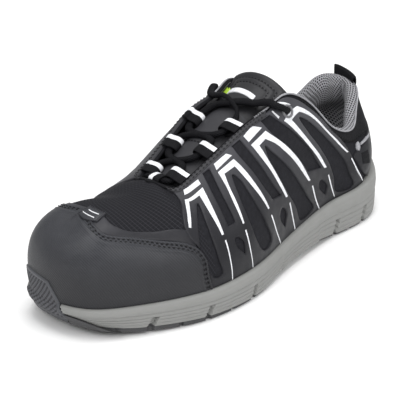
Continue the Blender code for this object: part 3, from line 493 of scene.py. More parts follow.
# %% Cloth finishes
side_textile = woven("side_textile", (0.009, 0.009, 0.011), (0.021, 0.021, 0.026), 22.0, 0.5, gloss=0.15)
collar_cloth = woven("collar_cloth", (0.006, 0.006, 0.007), (0.013, 0.013, 0.016), 30.0, 0.2, 0.76,
                     gloss=0.12)
lining_board = woven("lining_board", (0.020, 0.020, 0.022), (0.035, 0.035, 0.038), 12.0)
webbing = woven("lace_webbing", (0.006, 0.006, 0.007), (0.012, 0.012, 0.014), 11.0, 0.0, 0.75, 0.00018, 0.10)
lace_braid = woven("lace_braid", (0.004, 0.004, 0.005), (0.011, 0.011, 0.013), 9.0, 0.78, 0.72, 0.00030, 0.08)
reflective = woven("reflective_tape", (0.70, 0.71, 0.74), (0.84, 0.85, 0.88), 16.0, 0.0, 0.40, 0.00006)

vamp_textile = Finish("vamp_textile", (0.006, 0.006, 0.008), 0.80, Specular_IOR_Level=0.18)
ribs = vamp_textile.effect("lines", Lines_per_cm=13.0, Slant=0.50, Width=0.5)
strays = vamp_textile.effect("lines", Lines_per_cm=4.3, Slant=0.50, Width=0.22)
rip = vamp_textile.effect("lines", Lines_per_cm=5.2, Slant=-1.05, Width=0.25)
vamp_textile.tint(ribs["Mask"], 0.6, (0.014, 0.014, 0.018))
vamp_textile.tint(strays["Mask"], 0.6, (0.040, 0.040, 0.048))
vamp_textile.tint(rip["Mask"], 0.22, (0.040, 0.040, 0.047))
vamp_textile.bump(ribs["Height"], 0.00012, 0.7)

# %% [markdown]
# Coated film has a fine grain with a slow stain, and a painted shade darkens it towards the sole, where it
# faces away from the lamps. The cap's film is embossed as well, with slanted lines, and has the same painted
# shade.

# %% Film and leather
overlay_film = grained("overlay_film", (0.047, 0.047, 0.054), (0.058, 0.058, 0.066), 16.0, 0.46, 0.22,
                       0.00005, 0.35, 0.6, 0.35)
# Painted shade: the film is mixed darker towards the sole, where it faces away from the lamps.
overlay_film.mix(overlay_film.height(0.040, 0.096, 0.88, 0.0), (0.005, 0.005, 0.007))
overlay_film.rough(overlay_film.grain["Stain"], 0.38, 0.54)

cap_film = Finish("cap_film", (0.028, 0.030, 0.037), 0.46, Specular_IOR_Level=0.40)
emboss = cap_film.effect("lines", Lines_per_cm=7.6, Slant=0.62, Width=0.55)
cap_grain = cap_film.effect("grain", Scale=22.0)
cap_film.tint(emboss["Mask"], 0.85, (0.009, 0.009, 0.011))
cap_film.stain(cap_grain["Stain"], 0.40, 0.70, 0.4, (0.034, 0.035, 0.042))
# Painted shade: the cap's film is mixed darker towards the sole, where it faces away from the lamps.
cap_film.mix(cap_film.height(0.028, 0.062, 0.80, 0.0), (0.007, 0.007, 0.009))
cap_film.bump(emboss["Height"], -0.00010, 0.9)
cap_film.bump(cap_grain["Height"], 0.00003, 0.3)

tongue_leather = grained("tongue_leather", (0.010, 0.010, 0.012), (0.015, 0.015, 0.018), 26.0, 0.50, 0.35,
                         0.00006, 0.35, strength=0.5)
tongue_face = grained("tongue_face", (0.028, 0.028, 0.032), (0.036, 0.036, 0.040), 26.0, 0.60, 0.3,
                      0.00005, 0.35)

# %% [markdown]
# The lining is a light mesh with dark holes. Foam and rubber are nearly plain; the bumper's panel gets
# slanted lines that run on where its modelled ribs end.

# %% Lining, foam and rubber
spacer_mesh = Finish("spacer_mesh", (0.34, 0.34, 0.36), 0.80, Specular_IOR_Level=0.25, Sheen_Weight=0.08)
knit = spacer_mesh.effect("holes", Holes_per_cm=5.6, Radius=0.40)
spacer_mesh.stain(knit["Knit"], 0.40, 0.62, 0.6, (0.19, 0.19, 0.20))
spacer_mesh.mix(knit["Hole"], (0.006, 0.006, 0.007))
spacer_mesh.bump(knit["Hole"], -0.0008, 0.9)

midsole_foam = grained("midsole_foam", (0.228, 0.230, 0.223), (0.205, 0.207, 0.198), 40.0, 0.66, 0.3,
                       0.00004, 0.35, 0.4)
outsole_rubber = grained("outsole_rubber", (0.058, 0.058, 0.060), (0.074, 0.074, 0.077), 30.0, 0.62, 0.3,
                         0.00006)
bumper_rubber = grained("bumper_rubber", (0.056, 0.058, 0.065), (0.066, 0.068, 0.076), 35.0, 0.52, 0.4,
                        0.00004)
bumper_grip = Finish("bumper_grip", (0.080, 0.081, 0.090), 0.55, Specular_IOR_Level=0.4)
grip = bumper_grip.effect("lines", Lines_per_cm=4.6, Slant=0.785, Width=0.60)
bumper_grip.tint(grip["Mask"], 0.75, (0.014, 0.014, 0.017))
bumper_grip.bump(grip["Height"], -0.0003, 0.8)

# %% [markdown]
# The small parts: thread, piping, the label's lime end and the metal of the eyelets.

# %% Small finishes
thread_black = Finish("thread_black", (0.004, 0.004, 0.005), 0.7, Specular_IOR_Level=0.3)
strand_marks = thread_black.effect("lines", Lines_per_cm=30.0, Slant=0.8, Width=0.5)
thread_black.mix(strand_marks["Mask"], (0.010, 0.010, 0.012))
piping_grey = woven("piping_grey", (0.26, 0.26, 0.28), (0.40, 0.40, 0.42), 12.0)
label_lime = woven("label_lime", (0.36, 0.56, 0.04), (0.50, 0.74, 0.08), 20.0, 0.0, 0.6)
eyelet_finish = Finish("eyelet_finish", (0.13, 0.13, 0.14), 0.42)
rim_wear = eyelet_finish.effect("grain", Scale=20.0)
eyelet_finish.stain(rim_wear["Stain"], 0.4, 0.7, 0.5, (0.22, 0.22, 0.23))
print("finishes:", len(bpy.data.materials))

# %% [markdown]
# ## From tables to meshes
# Two ways of making a mesh carry most of this shoe. A grid is lofted row by row, as for the upper and
# the sole. A patch is cut from a flat outline in (t, h), filled with triangles and laid over the last,
# as a cutter presses an overlay from film: its rim is lowered so that the edge rolls over.


# %% Mesh helpers
def add_piece(name, vertices, faces, finishes, which=None, uv=None, sharp=45.0, weld=True):
    """Object from points and faces; which picks a finish for each face, uv is in centimetres."""
    mesh = bpy.data.meshes.new(name)
    mesh.from_pydata([tuple(v) for v in vertices], [], [tuple(int(k) for k in f) for f in faces])
    if uv is not None:
        map_layer = mesh.uv_layers.new(name="UVMap")
        corner = np.zeros(len(mesh.loops), int)
        mesh.loops.foreach_get("vertex_index", corner)
        map_layer.data.foreach_set("uv", np.asarray(uv, float)[corner].ravel())
    for finish in finishes:
        mesh.materials.append(finish.material)
    if which is not None:
        mesh.polygons.foreach_set("material_index", np.asarray(which, int))
    made = bmesh.new()
    made.from_mesh(mesh)
    if weld:
        bmesh.ops.remove_doubles(made, verts=made.verts, dist=2e-6)
    bmesh.ops.recalc_face_normals(made, faces=made.faces)
    made.to_mesh(mesh)
    made.free()
    mesh.shade_smooth()
    mesh.set_sharp_from_angle(angle=math.radians(sharp))
    piece = bpy.data.objects.new(name, mesh)
    bpy.context.collection.objects.link(piece)
    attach(piece, "root")
    return piece


def grid_faces(rows, columns, wrap_rows=False, wrap_columns=False, start=0):
    """Faces of a grid of points, as an array of four corners each."""
    i = np.arange(rows if wrap_rows else rows - 1)[:, None]
    k = np.arange(columns if wrap_columns else columns - 1)[None, :]
    a = i * columns + k
    b = (i + 1) % rows * columns + k
    c = (i + 1) % rows * columns + (k + 1) % columns
    d = i * columns + (k + 1) % columns
    return np.stack(np.broadcast_arrays(a, b, c, d), -1).reshape(-1, 4) + start


def end_faces(rows, wide, start=0):
    """The two faces that close a tube of points."""
    first, last = start, start + (rows - 1) * wide
    return [tuple(range(first, first + wide)), tuple(range(last, last + wide))]


def grid_uv(along, across):
    """One UV row for each point of a grid."""
    return np.stack(np.broadcast_arrays(along, across), -1).reshape(-1, 2)


def reached(path):
    """Length of a path from its start to each of its points."""
    return np.concatenate([[0], np.cumsum(np.linalg.norm(np.diff(path, axis=0), axis=1))])


def nearest(path):
    """Function that gives the distance from points to the nearest point of a path."""
    tree = kdtree.KDTree(len(path))
    for k, point in enumerate(path):
        tree.insert((*point, 0.0)[:3], k)
    tree.balance()
    return lambda points: np.array([tree.find((*p, 0.0)[:3])[2] for p in points])


def rolled(away, radius):
    """Quarter circle: 0 at a rim, 1 from a radius inside it on."""
    return np.sqrt(np.clip(1 - (1 - np.clip(away / radius, 0, 1))**2, 0, 1))


def skirted(top, under, uv):
    """Points, faces and UV of a grid whose border goes down to the points under it."""
    rows, count = top.shape[:2]
    uv = uv.reshape(rows, count, 2)
    faces = [tuple(f) for f in grid_faces(rows, count)]
    borders = [[(i, 0) for i in range(rows)], [(i, count - 1) for i in range(rows)],
               [(0, k) for k in range(count)], [(rows - 1, k) for k in range(count)]]
    low, tail = [], []
    for border in borders:
        ids = [i * count + k for i, k in border]
        base = rows * count + len(low)
        low.extend(under[i, k] for i, k in border)
        tail.extend(uv[i, k] for i, k in border)
        faces.extend((ids[n], ids[n + 1], base + n + 1, base + n) for n in range(len(ids) - 1))
    return np.concatenate([top.reshape(-1, 3), low]), faces, np.concatenate([uv.reshape(-1, 2), tail])


def dress(piece, slot, *nodes):
    """Hides the CAD nodes that a piece stands for and prints its count of faces; the slot is not used."""
    if nodes:
        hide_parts(*nodes)
    print("%-22s %6d faces" % (piece.name, len(piece.data.polygons)))
    return piece


def detail(full, quick):
    return full


SIDES = ((1, "outer"), (-1, "inner"))
print("mesh helpers ready")

# %% [markdown]
# An outline is a few chosen points with a smooth curve through them. A patch fills it with triangles,
# denser at the rim, and rolls the rim down onto the skin.

# %% Outlines and patches
METRIC = np.array([360.0, 85.0])  # millimetres along and up the upper for one t and one h


def eased(a, b, leave, arrive, length, f):
    """Cubic curve from a to b that leaves and arrives along two directions."""
    ease = f * f * (3 - 2 * f)
    return a + (b - a) * ease + leave * length * f * (1 - f)**2 - arrive * length * f * f * (1 - f)


def rounded(points, step=1.2, closed=True, sharp=()):
    """Dense smooth outline through a few (t, h) points; points listed in sharp stay corners."""
    points = np.asarray(points, float) * METRIC
    count = len(points)
    spans = range(count) if closed else range(count - 1)
    dense = []
    for i in spans:
        a, b = points[i], points[(i + 1) % count]
        before = points[i - 1] if (closed or i) else a
        after = points[(i + 2) % count] if (closed or i < count - 2) else b
        length = max(np.linalg.norm(b - a), 1e-9)

        def slope(p, q, r):
            first, second = np.linalg.norm(q - p), np.linalg.norm(r - q)
            if first < 1e-9 or second < 1e-9:
                return (r - p) / max(first + second, 1e-9)
            return ((q - p) / first * second + (r - q) / second * first) / (first + second)

        leave = (b - a) / length if i in sharp else slope(before, a, b)
        arrive = (b - a) / length if (i + 1) % count in sharp else slope(a, b, after)
        steps = max(2, int(round(length / step)))
        dense.append(eased(a, b, leave, arrive, length, (np.arange(steps) / steps)[:, None]))
    if not closed:
        dense.append(points[-1:])
    return np.concatenate(dense) / METRIC


def inside(points, loops):
    """Even-odd test of flat points against closed loops."""
    x, y = points[:, 0][:, None], points[:, 1][:, None]
    hit = np.zeros(len(points), int)
    for loop in loops:
        a, b = loop, np.roll(loop, -1, axis=0)
        crosses = (a[:, 1] > y) != (b[:, 1] > y)
        rise = np.where(np.abs(b[:, 1] - a[:, 1]) < 1e-12, 1e-12, b[:, 1] - a[:, 1])
        hit += (crosses & (x < (b[:, 0] - a[:, 0]) * (y - a[:, 1]) / rise + a[:, 0])).sum(1)
    return hit % 2 == 1


FILL_SPACING = 2.2  # millimetres between the points that fill a patch
RIM_SINK = 0.0003


def fill_outline(loops, spacing, insets):
    """Triangles between closed (t, h) loops, with rings of points near the rim."""
    flat = [loop * METRIC for loop in loops]
    rim = np.concatenate(flat)
    edges, start = [], 0
    for loop in flat:
        count = len(loop)
        edges.extend((start + k, start + (k + 1) % count) for k in range(count))
        start += count
    low, high = rim.min(0), rim.max(0)
    rows = []
    for number, y in enumerate(np.arange(low[1], high[1], spacing * 0.87)):
        x = np.arange(low[0] + spacing / 2 * (number % 2), high[0], spacing)
        rows.append(np.stack([x, np.full_like(x, y)], -1))
    extra = [(np.concatenate(rows), spacing * 0.55)]
    for inset in insets:
        for loop in flat:
            along = unit(np.roll(loop, -1, axis=0) - np.roll(loop, 1, axis=0))
            across = np.stack([-along[:, 1], along[:, 0]], -1)
            for sign in (1, -1):
                extra.append((loop + across * inset * sign, inset * 0.85))
    to_rim = nearest(rim)
    kept = [rim]
    for number, (points, room) in enumerate(extra):
        points = points[inside(points, flat)]
        kept.append(points[to_rim(points) > (max(room, max(insets) * 1.1) if number == 0 else room)])
    every = np.concatenate(kept)
    found = geometry.delaunay_2d_cdt([Vector(p) for p in every], edges, [], 0, 1e-5)
    verts = np.array([tuple(v) for v in found[0]])
    faces = np.array([f for f in found[2] if len(f) == 3])
    faces = faces[inside(verts[faces].mean(1), flat)]
    return verts / METRIC, faces


def patch(name, loops, finish, thickness=0.0010, lift=0.0004, bevel=0.0007):
    """Film overlay cut to the loops, with a rolled rim."""
    flat, faces = fill_outline(loops, FILL_SPACING, (bevel * 350, bevel * 1000))
    t, h = flat[:, 0], flat[:, 1]
    ground_points = skin(t, h)
    normal = skin_normal(t, h)
    away = nearest(layer(*np.concatenate(loops).T, 0.0))(ground_points)
    top = ground_points + normal * (lift + thickness * rolled(away, bevel))[:, None]
    pairs = np.concatenate([faces[:, [0, 1]], faces[:, [1, 2]], faces[:, [2, 0]]])
    keys = np.sort(pairs, 1)
    _, first, counts = np.unique(keys, axis=0, return_index=True, return_counts=True)
    border = pairs[first[counts == 1]]
    used = np.unique(border)
    order = {old: len(top) + new for new, old in enumerate(used)}
    under = ground_points[used] - normal[used] * RIM_SINK
    skirt = [(b, a, order[a], order[b]) for a, b in border]
    every = [tuple(f) for f in faces] + skirt
    uv = flat * METRIC / 10
    return add_piece(name, np.concatenate([top, under]), every, [finish],
                     uv=np.concatenate([uv, uv[used]]), sharp=70.0)


def band(path, half):
    """Closed outline of a band of given half width (millimetres, one or per point) along a path."""
    points = np.asarray(path, float) * METRIC
    along = unit(np.gradient(points, axis=0))
    across = np.stack([-along[:, 1], along[:, 0]], -1) * np.reshape(half, (-1, 1))
    return np.concatenate([points + across, (points - across)[::-1]]) / METRIC


print("patch maker ready")

# %% [markdown]
# Cords, piping and laces are tubes with a round or flattened section. Stitches are short bowed threads
# set one after another along a path.

# %% Tubes, ribbons and stitches
def frames_along(path, up):
    """Directions across and up at each point of a path."""
    along = unit(np.gradient(path, axis=0))
    across = unit(np.cross(np.broadcast_to(up, path.shape), along))
    return across, np.cross(along, across)


def tube(name, path, wide, tall, up, finish, sides=14, square=2.0):
    """Tube with a flattened round section; wide and tall are half sizes, one or per point."""
    path = np.asarray(path, float)
    wide = np.broadcast_to(wide, len(path))
    tall = np.broadcast_to(tall, len(path))
    across, lift = frames_along(path, up)
    angle = math.tau * np.arange(sides) / sides
    power = 2.0 / square
    c = np.sign(np.cos(angle)) * np.abs(np.cos(angle))**power
    s = np.sign(np.sin(angle)) * np.abs(np.sin(angle))**power
    rings = (path[:, None] + across[:, None] * (c[None, :] * wide[:, None])[..., None]
             + lift[:, None] * (s[None, :] * tall[:, None])[..., None])
    faces = [tuple(f) for f in grid_faces(len(path), sides, wrap_columns=True)]
    faces += end_faces(len(path), sides)
    around = np.arange(sides) / sides * (wide.mean() + tall.mean()) * math.pi * 100
    uv = grid_uv(reached(path)[:, None] * 100, around)
    return add_piece(name, rings.reshape(-1, 3), faces, [finish], uv=uv, sharp=80.0)


def smooth_path(points, step, values=None):
    """Smooth open curve through a few points, about every step, and the values given at them."""
    points = np.asarray(points, float)
    reach = np.linalg.norm(np.diff(points, axis=0), axis=1)
    slopes = np.diff(points, axis=0) / reach[:, None]
    before, after = reach[:-1, None], reach[1:, None]
    middle = (slopes[:-1] * after + slopes[1:] * before) / (before + after)
    tangents = np.concatenate([slopes[:1], middle, slopes[-1:]])
    shares = np.zeros(len(points)) if values is None else values
    path, along = [points[0]], [shares[0]]
    for i, length in enumerate(reach):
        count = max(1, round(length / step))
        for f in np.arange(1, count + 1) / count:
            path.append(eased(points[i], points[i + 1], tangents[i], tangents[i + 1], length, f))
            along.append(shares[i] + (shares[i + 1] - shares[i]) * f)
    return np.array(path) if values is None else (np.array(path), np.array(along))


def stitches(name, rows, finish, pitch=0.0032, share=0.62, radius=0.00034, slot="upper_textile"):
    """Rows of stitches: short bowed threads along 3-D paths given with their surface normals."""
    vertices, faces = [], []
    sides, rings = 6, 5
    angle = math.tau * np.arange(sides) / sides
    for path, normals in rows:
        reach = reached(path)
        for start in np.arange(pitch * 0.2, reach[-1] - pitch * share, pitch):
            places = start + np.linspace(0, 1, rings) * pitch * share
            line = np.stack([np.interp(places, reach, path[:, k]) for k in range(3)], -1)
            up = unit(np.stack([np.interp(places, reach, normals[:, k]) for k in range(3)], -1))
            bow = np.sin(np.linspace(0, 1, rings) * math.pi)
            line = line + up * (bow * radius * 1.3 - radius * 0.6)[:, None]
            along = unit(np.gradient(line, axis=0))
            across = unit(np.cross(up, along))
            width = radius * np.sqrt(np.clip(1 - (np.linspace(-1, 1, rings) * 0.93)**2, 0.05, 1))
            base = len(vertices)
            for p, a, u, w in zip(line, across, up, width):
                vertices.extend(p + a * w * math.cos(g) + u * w * math.sin(g) for g in angle)
            faces.extend(tuple(f) for f in grid_faces(rings, sides, wrap_columns=True, start=base))
            faces += end_faces(rings, sides, base)
    uv = np.zeros((len(vertices), 2))
    return dress(add_piece(name, vertices, faces, [finish], uv=uv, weld=False), slot)


def shifted(points, offset):
    """The same (t, h) path moved sideways by millimetres."""
    dense = rounded(points, 1.0, False) * METRIC
    along = unit(np.gradient(dense, axis=0))
    return (dense + np.stack([-along[:, 1], along[:, 0]], -1) * offset) / METRIC


print("tube and stitch makers ready")

# %% [markdown]
# ## The upper
# One fabric shell, open at the collar, the throat and the sole. Outside it is a dark woven textile:
# a finer ribbed one over the vamp, a plain one at the sides, and a smooth cloth around the collar.
# Inside it is a light spacer mesh over foam, which swells beside the heel and leaves a seam in the
# middle of the back. A dense grid follows the last, so the padding is a matter of moving its inner
# points.

# %% The fabric shell
UPPER_WALL = 0.0024
COLLAR_PAD = 0.0058
PAD_SWELL = 0.0030
COLUMNS_AROUND = detail(300, 180)
ROWS_UP = detail(56, 34)


def heel_share(t):
    """Section counted from the heel on either side."""
    return np.minimum(np.mod(t, 2.0), 2.0 - np.mod(t, 2.0))


def wall(t, h):
    """Thickness of the shell: fabric alone, or fabric with the collar's foam."""
    back = heel_share(t)
    pad = (1.0 - smooth(back, 0.22, 0.36)) * smooth(h, 0.40, 0.80)
    swell = PAD_SWELL * smooth(back, 0.004, 0.035) * (1 - smooth(back, 0.10, 0.24)) * smooth(h, 0.35, 0.70)
    return UPPER_WALL + (COLLAR_PAD - UPPER_WALL) * pad + swell * (1 - smooth(h, 0.93, 1.0) * 0.5)


PANEL_SEAM = np.array(((0.0, 0.43), (0.081, 0.44), (0.149, 0.72), (0.196, 0.80), (0.228, 0.88),
                       (0.290, 0.925), (0.340, 0.955), (0.400, 0.995), (0.450, 1.2), (1.0, 1.2)))


def above_seam(t, h):
    """How far a point lies above the lower seam of the collar panel."""
    return h - np.interp(heel_share(t), PANEL_SEAM[:, 0], PANEL_SEAM[:, 1])


def make_shell():
    knots = [row[0] for group in SECTION_GROUPS for row in group[0]]
    half = np.unique(np.concatenate([np.linspace(0, 1, COLUMNS_AROUND // 2), knots]))
    sections = np.concatenate([half, 2.0 - half[-2:0:-1]])
    heights = np.linspace(0, 1, ROWS_UP)
    t, h = np.meshgrid(sections, heights, indexing="ij")
    panel = 0.0007 * smooth(above_seam(t, h), 0.0, 0.035) * (1 - smooth(h, 0.90, 1.0))
    outside = layer(t, h, panel)
    lining = layer(t, h, -wall(t, h))
    ridge = on_ridge(sections)
    rim_steps = 7
    edge_out, edge_in = outside[:, -1], lining[:, -1]
    rise = unit(outside[:, -1] - outside[:, -2])
    rise[ridge] = [-1.0, 0.0, 0.0]
    rim = []
    for k in range(1, rim_steps):
        angle = math.pi * k / rim_steps
        share = (1 - math.cos(angle)) / 2
        swell = math.sin(angle) * wall(sections, 1.0)[:, None] * 0.42
        rim.append(edge_out + (edge_in - edge_out) * share + rise * swell)
    rows, count = t.shape
    profile = np.concatenate([outside, np.stack(rim, 1), lining[:, ::-1]], 1)
    wide = profile.shape[1]
    closed = grid_faces(rows, wide, wrap_rows=True, wrap_columns=True)
    column = np.tile(np.arange(wide), rows)
    row = np.repeat(np.arange(rows), wide)
    both_ridge = ridge[row] & ridge[(row + 1) % rows]
    is_rim = (column >= count - 1) & (column < count + rim_steps - 1)
    keep = ~(both_ridge & is_rim)
    closed, column, row = closed[keep], column[keep], row[keep]
    up = heights[np.minimum(column, count - 1)]
    panel = above_seam(sections[row], up) > 0
    which = np.where(panel, 2, np.where(heel_share(sections[row]) > 0.655, 0, 1))
    back = heel_share(sections[row])
    which = np.where(column >= count - 1, np.where(back > 0.47, 2, 3), which)
    which = np.where(is_rim[keep] & (sections[row] > 1) & (back > 0.30), 2, which)
    along = reached(skin(sections, 0.9)) * 100
    climb = np.linalg.norm(np.diff(profile, axis=1), axis=2)
    climb = np.concatenate([np.zeros((rows, 1)), np.cumsum(climb, 1)], 1) * 100
    uv = grid_uv(along[:, None], climb)
    shell = add_piece("upper_shell", profile.reshape(-1, 3), closed,
                      [vamp_textile, side_textile, collar_cloth, spacer_mesh], which, uv, sharp=75.0)
    return dress(shell, "upper_textile", "upper")


make_shell()

# %% [markdown]
# ## The sole
# The midsole is one moulding with a smooth band, four ribs under it and flex slots at the side. The
# outsole pods under it carry the tread. Both are lofts from section to section; the ribs come from a
# short table of side heights, and a slot is a dent that the loft takes where it crosses one.

# %% Sole shapes
SOLE_FLARE = 0.0030
HEEL_FLARE = 0.0025
OUTSOLE_THICKNESS = 0.0044
TOE_SPRING = 0.0055
TOE_UNDERCUT = 0.0085
HEEL_BEVEL = 0.0040
ARCH_RISE = 0.0045
GAP = 0.0003
HEEL_POD_END = 0.300
FORE_POD_START = 0.430
BUMPER_OUTER = 0.983
BUMPER_INNER = 1.100
BUMPER_THICKNESS = 0.0020
SLOT_DEPTH = 0.0024
FLEX_GROOVES = (0.017, 0.117, 0.476, 0.610, 0.728)
FINE_GROOVES = (0.067, 0.410, 0.543, 0.669, 0.786)
SIDE_PROFILE = np.array((
    # down, out in millimetres
    (0.00, -1.2),
    (0.03, -0.2),
    (0.10, 0.5),
    (0.25, 0.9),
    (0.38, 0.7),
    (0.42, 0.1),
    (0.46, 0.4),
    (0.56, 0.5),
    (0.585, 0.05),
    (0.61, 0.4),
    (0.70, 0.4),
    (0.725, 0.0),
    (0.75, 0.3),
    (0.84, 0.2),
    (0.865, -0.1),
    (0.89, 0.2),
    (1.00, -0.3),
))


def ground(x):
    """Height of the sole's underside: heel bevel, arch and toe spring."""
    share = np.asarray(x, float) / SHOE_LENGTH
    spring = TOE_SPRING * np.clip((share - 0.555) / 0.31, 0, 1)**2
    bevel = HEEL_BEVEL * np.clip((-0.062 - share) / 0.07, 0, 1)**2
    arch = ARCH_RISE * np.sin(np.pi * np.clip((share - 0.10) / 0.34, 0, 1))**1.2
    return spring + bevel + arch


def outline(t, out):
    return SECTION(t)[..., :2] + feather_normal(t) * np.asarray(out, float)[..., None]


def sole_out(t, down):
    back = heel_share(t)
    flare = SOLE_FLARE + HEEL_FLARE * np.exp(-(back / 0.25)**2)
    toe = np.clip((SECTION(t)[..., 0] / SHOE_LENGTH - 0.745) / 0.10, 0, 1)**1.5
    return flare - TOE_UNDERCUT * toe * np.clip((down - 0.35) / 0.65, 0, 1)


def pod_cover(t):
    """1 over an outsole pod, 0 over the bare arch, with short ramps."""
    back = heel_share(t)
    return np.maximum(1 - smooth(back, HEEL_POD_END - 0.003, HEEL_POD_END + 0.003),
                      smooth(back, FORE_POD_START - 0.003, FORE_POD_START + 0.003))


def skirt(t):
    """How far up the outsole's edge the midsole stops, as a share of the outsole's thickness."""
    return 0.42 + 0.40 * smooth(heel_share(t), 0.50, 0.75)


def make_midsole():
    sections = np.linspace(0, 2, detail(721, 421))[:-1]
    down = np.interp(np.linspace(0, len(SIDE_PROFILE) - 1, 65), np.arange(len(SIDE_PROFILE)),
                     SIDE_PROFILE[:, 0])
    t, d = np.meshgrid(sections, down, indexing="ij")
    out = sole_out(t, d) + np.interp(d, SIDE_PROFILE[:, 0], SIDE_PROFILE[:, 1]) * 0.001
    place = outline(t, out)
    slot = np.zeros(t.shape)
    for share in FLEX_GROOVES:
        near = np.abs(place[..., 0] - share * SHOE_LENGTH - (d - 0.8) * 0.006)
        slot = np.maximum(slot, (1 - smooth(near, 0.0013, 0.0019)) * smooth(d, 0.58, 0.62))
    slot *= smooth(heel_share(t), 0.02, 0.06) * (1 - smooth(heel_share(t), 0.93, 0.96))
    bumper = smooth(t + 0.018 * d, BUMPER_OUTER - 0.001, BUMPER_OUTER + 0.001)
    bumper *= 1 - smooth(t - 0.013 * d, BUMPER_INNER - 0.001, BUMPER_INNER + 0.001)
    out = out - slot * SLOT_DEPTH - bumper * (BUMPER_THICKNESS + 0.0006)
    place = outline(t, out)
    lift = SECTION(t)[..., 2] + 0.0002
    pods = pod_cover(t) * OUTSOLE_THICKNESS
    bottom = ground(place[..., 0]) + pods * np.minimum(skirt(t) + 0.55 * np.maximum(slot, bumper), 1.0)
    side = np.concatenate([place, (lift + (bottom - lift) * d)[..., None]], -1)
    inset_top = outline(sections, np.full(len(sections), -0.004))
    top = np.concatenate([inset_top, (SECTION(sections)[:, 2:3] + 0.0002)], -1)
    returns = []
    for inset, share in ((0.0014, skirt(sections)), (0.0016, 1.0), (0.0060, 1.0)):
        low = outline(sections, out[:, -1] - inset)
        z = ground(low[:, 0]) + pods[:, -1] * share
        returns.append(np.concatenate([low, z[:, None]], -1))
    middle_x = SECTION(sections)[:, 0]
    core = np.stack([middle_x, 0.0 * middle_x, ground(middle_x) + pods[:, -1]], -1)
    profile = np.concatenate([top[:, None], side, np.stack(returns, 1), core[:, None]], 1)
    rows = profile.shape[0]
    faces = grid_faces(rows, profile.shape[1], wrap_rows=True)
    reach = reached(outline(sections, sections * 0)) * 100
    up = np.concatenate([[0.4], -down * 2.0, [-2.1, -2.3, -2.8, -6.0]])
    uv = grid_uv(reach[:, None], up)
    piece = add_piece("midsole_moulding", profile.reshape(-1, 3), faces, [midsole_foam], uv=uv, sharp=50.0)
    return dress(piece, "midsole_foam", "midsole")


make_midsole()

# %% [markdown]
# ## Outsole tread
# The tread is what grips: lugs about three millimetres deep between cross grooves, with zigzag cuts
# along the middle. A fine grid across each pod takes a height from one tread function, and its rim
# folds up the side.


# %% Tread
LUG_DEPTH = 0.0026
FINE_DEPTH = 0.0007
ZIGZAG_LINES = (-0.021, 0.021)


def tread_depth(x, y):
    """How deep the tread is cut at a point, in metres."""
    cut = np.zeros(np.broadcast(x, y).shape)
    for shares, floor, rim in ((FLEX_GROOVES, 0.0012, 0.0019), (FINE_GROOVES, 0.0008, 0.0013)):
        for share in shares:
            cut = np.maximum(cut, 1 - smooth(np.abs(x - share * SHOE_LENGTH), floor, rim))
    for line in ZIGZAG_LINES:
        zigzag = line + 0.0035 * (2 * np.abs(np.mod(x / 0.0145, 1.0) - 0.5) - 0.5)
        cut = np.maximum(cut, 1 - smooth(np.abs(y - zigzag), 0.0010, 0.0016))
    fine = np.abs(np.mod((x + 0.35 * np.abs(y)) / 0.0040, 1.0) - 0.5)
    groove = (1 - smooth(fine, 0.06, 0.12)) * (np.abs(y) < 0.017)
    return np.maximum(cut * LUG_DEPTH, groove * FINE_DEPTH)


def make_pod(name, node, start, end):
    sections = np.linspace(start, end, 330 if node == "outsole_forefoot" else 240)
    across = np.linspace(-1, 1, 91)
    sides = []
    for side in (sections, 2.0 - sections):
        rows = []
        for down, share in ((0.90, 1.0), (0.93, 0.62), (0.97, 0.25), (1.0, 0.06)):
            out = sole_out(side, np.full(len(side), down)) - 0.0022 + 0.0006 * (1 - share)
            place = outline(side, out)
            notch = tread_depth(place[:, 0], np.full(len(side), 0.2)) / LUG_DEPTH
            place = outline(side, out - notch * 0.0016 * (share < 0.99))
            z = ground(place[:, 0]) + OUTSOLE_THICKNESS * share
            rows.append(np.concatenate([place, z[:, None]], -1))
        sides.append(rows)
    outer, inner = sides
    left = outer[-1][:, None, :2]
    right = inner[-1][:, None, :2]
    share = (across[None, :, None] + 1) / 2
    flat = left + (right - left) * share
    x, y = flat[..., 0], flat[..., 1]
    rim = np.minimum(share[..., 0], 1 - share[..., 0]) * np.linalg.norm(left - right, axis=-1)
    z = ground(x) + np.maximum(tread_depth(x, y), 0.0003 * (1 - smooth(rim, 0.0, 0.0012)))
    under = np.concatenate([flat, z[..., None]], -1)
    profile = np.concatenate([np.stack(outer, 1), under, np.stack(inner, 1)[:, ::-1]], 1)
    rows, wide = profile.shape[:2]
    faces = [tuple(f) for f in grid_faces(rows, wide, wrap_columns=True)]
    first, last = end_faces(rows, wide)
    faces += [first] * (start > 0) + [last] * (end < 1)
    uv = profile.reshape(-1, 3)[:, :2] * 100
    piece = add_piece(name, profile.reshape(-1, 3), faces, [outsole_rubber], uv=uv, sharp=40.0)
    return dress(piece, "outsole_rubber", node)


make_pod("tread_heel", "outsole_heel", 0.0, HEEL_POD_END - 0.004)
make_pod("tread_forefoot", "outsole_forefoot", FORE_POD_START + 0.004, 1.0)

# %% [markdown]
# ## The inside
# The insole board is a felted slab. It keeps its CAD shape; only its finish is new.

# %% The insole
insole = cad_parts["insole"]
insole.data.materials.clear()
insole.data.materials.append(lining_board.material)
while insole.data.uv_layers:
    insole.data.uv_layers.remove(insole.data.uv_layers[0])
flat = insole.data.uv_layers.new(name="UVMap")
for corner in insole.data.loops:
    place = insole.matrix_world @ insole.data.vertices[corner.vertex_index].co
    flat.data[corner.index].uv = (place.x * 100, place.y * 100)
print("insole corners:", len(insole.data.loops))

# %% [markdown]
# ## The side cage
# The coloured structure of the side is one thin coated film, cut with windows and pressed onto the
# textile: eight legs fan out from the lacing to the sole. It is drawn flat as an outline with holes,
# as its cutting die would be. The inner side wears the same cage, mirrored.

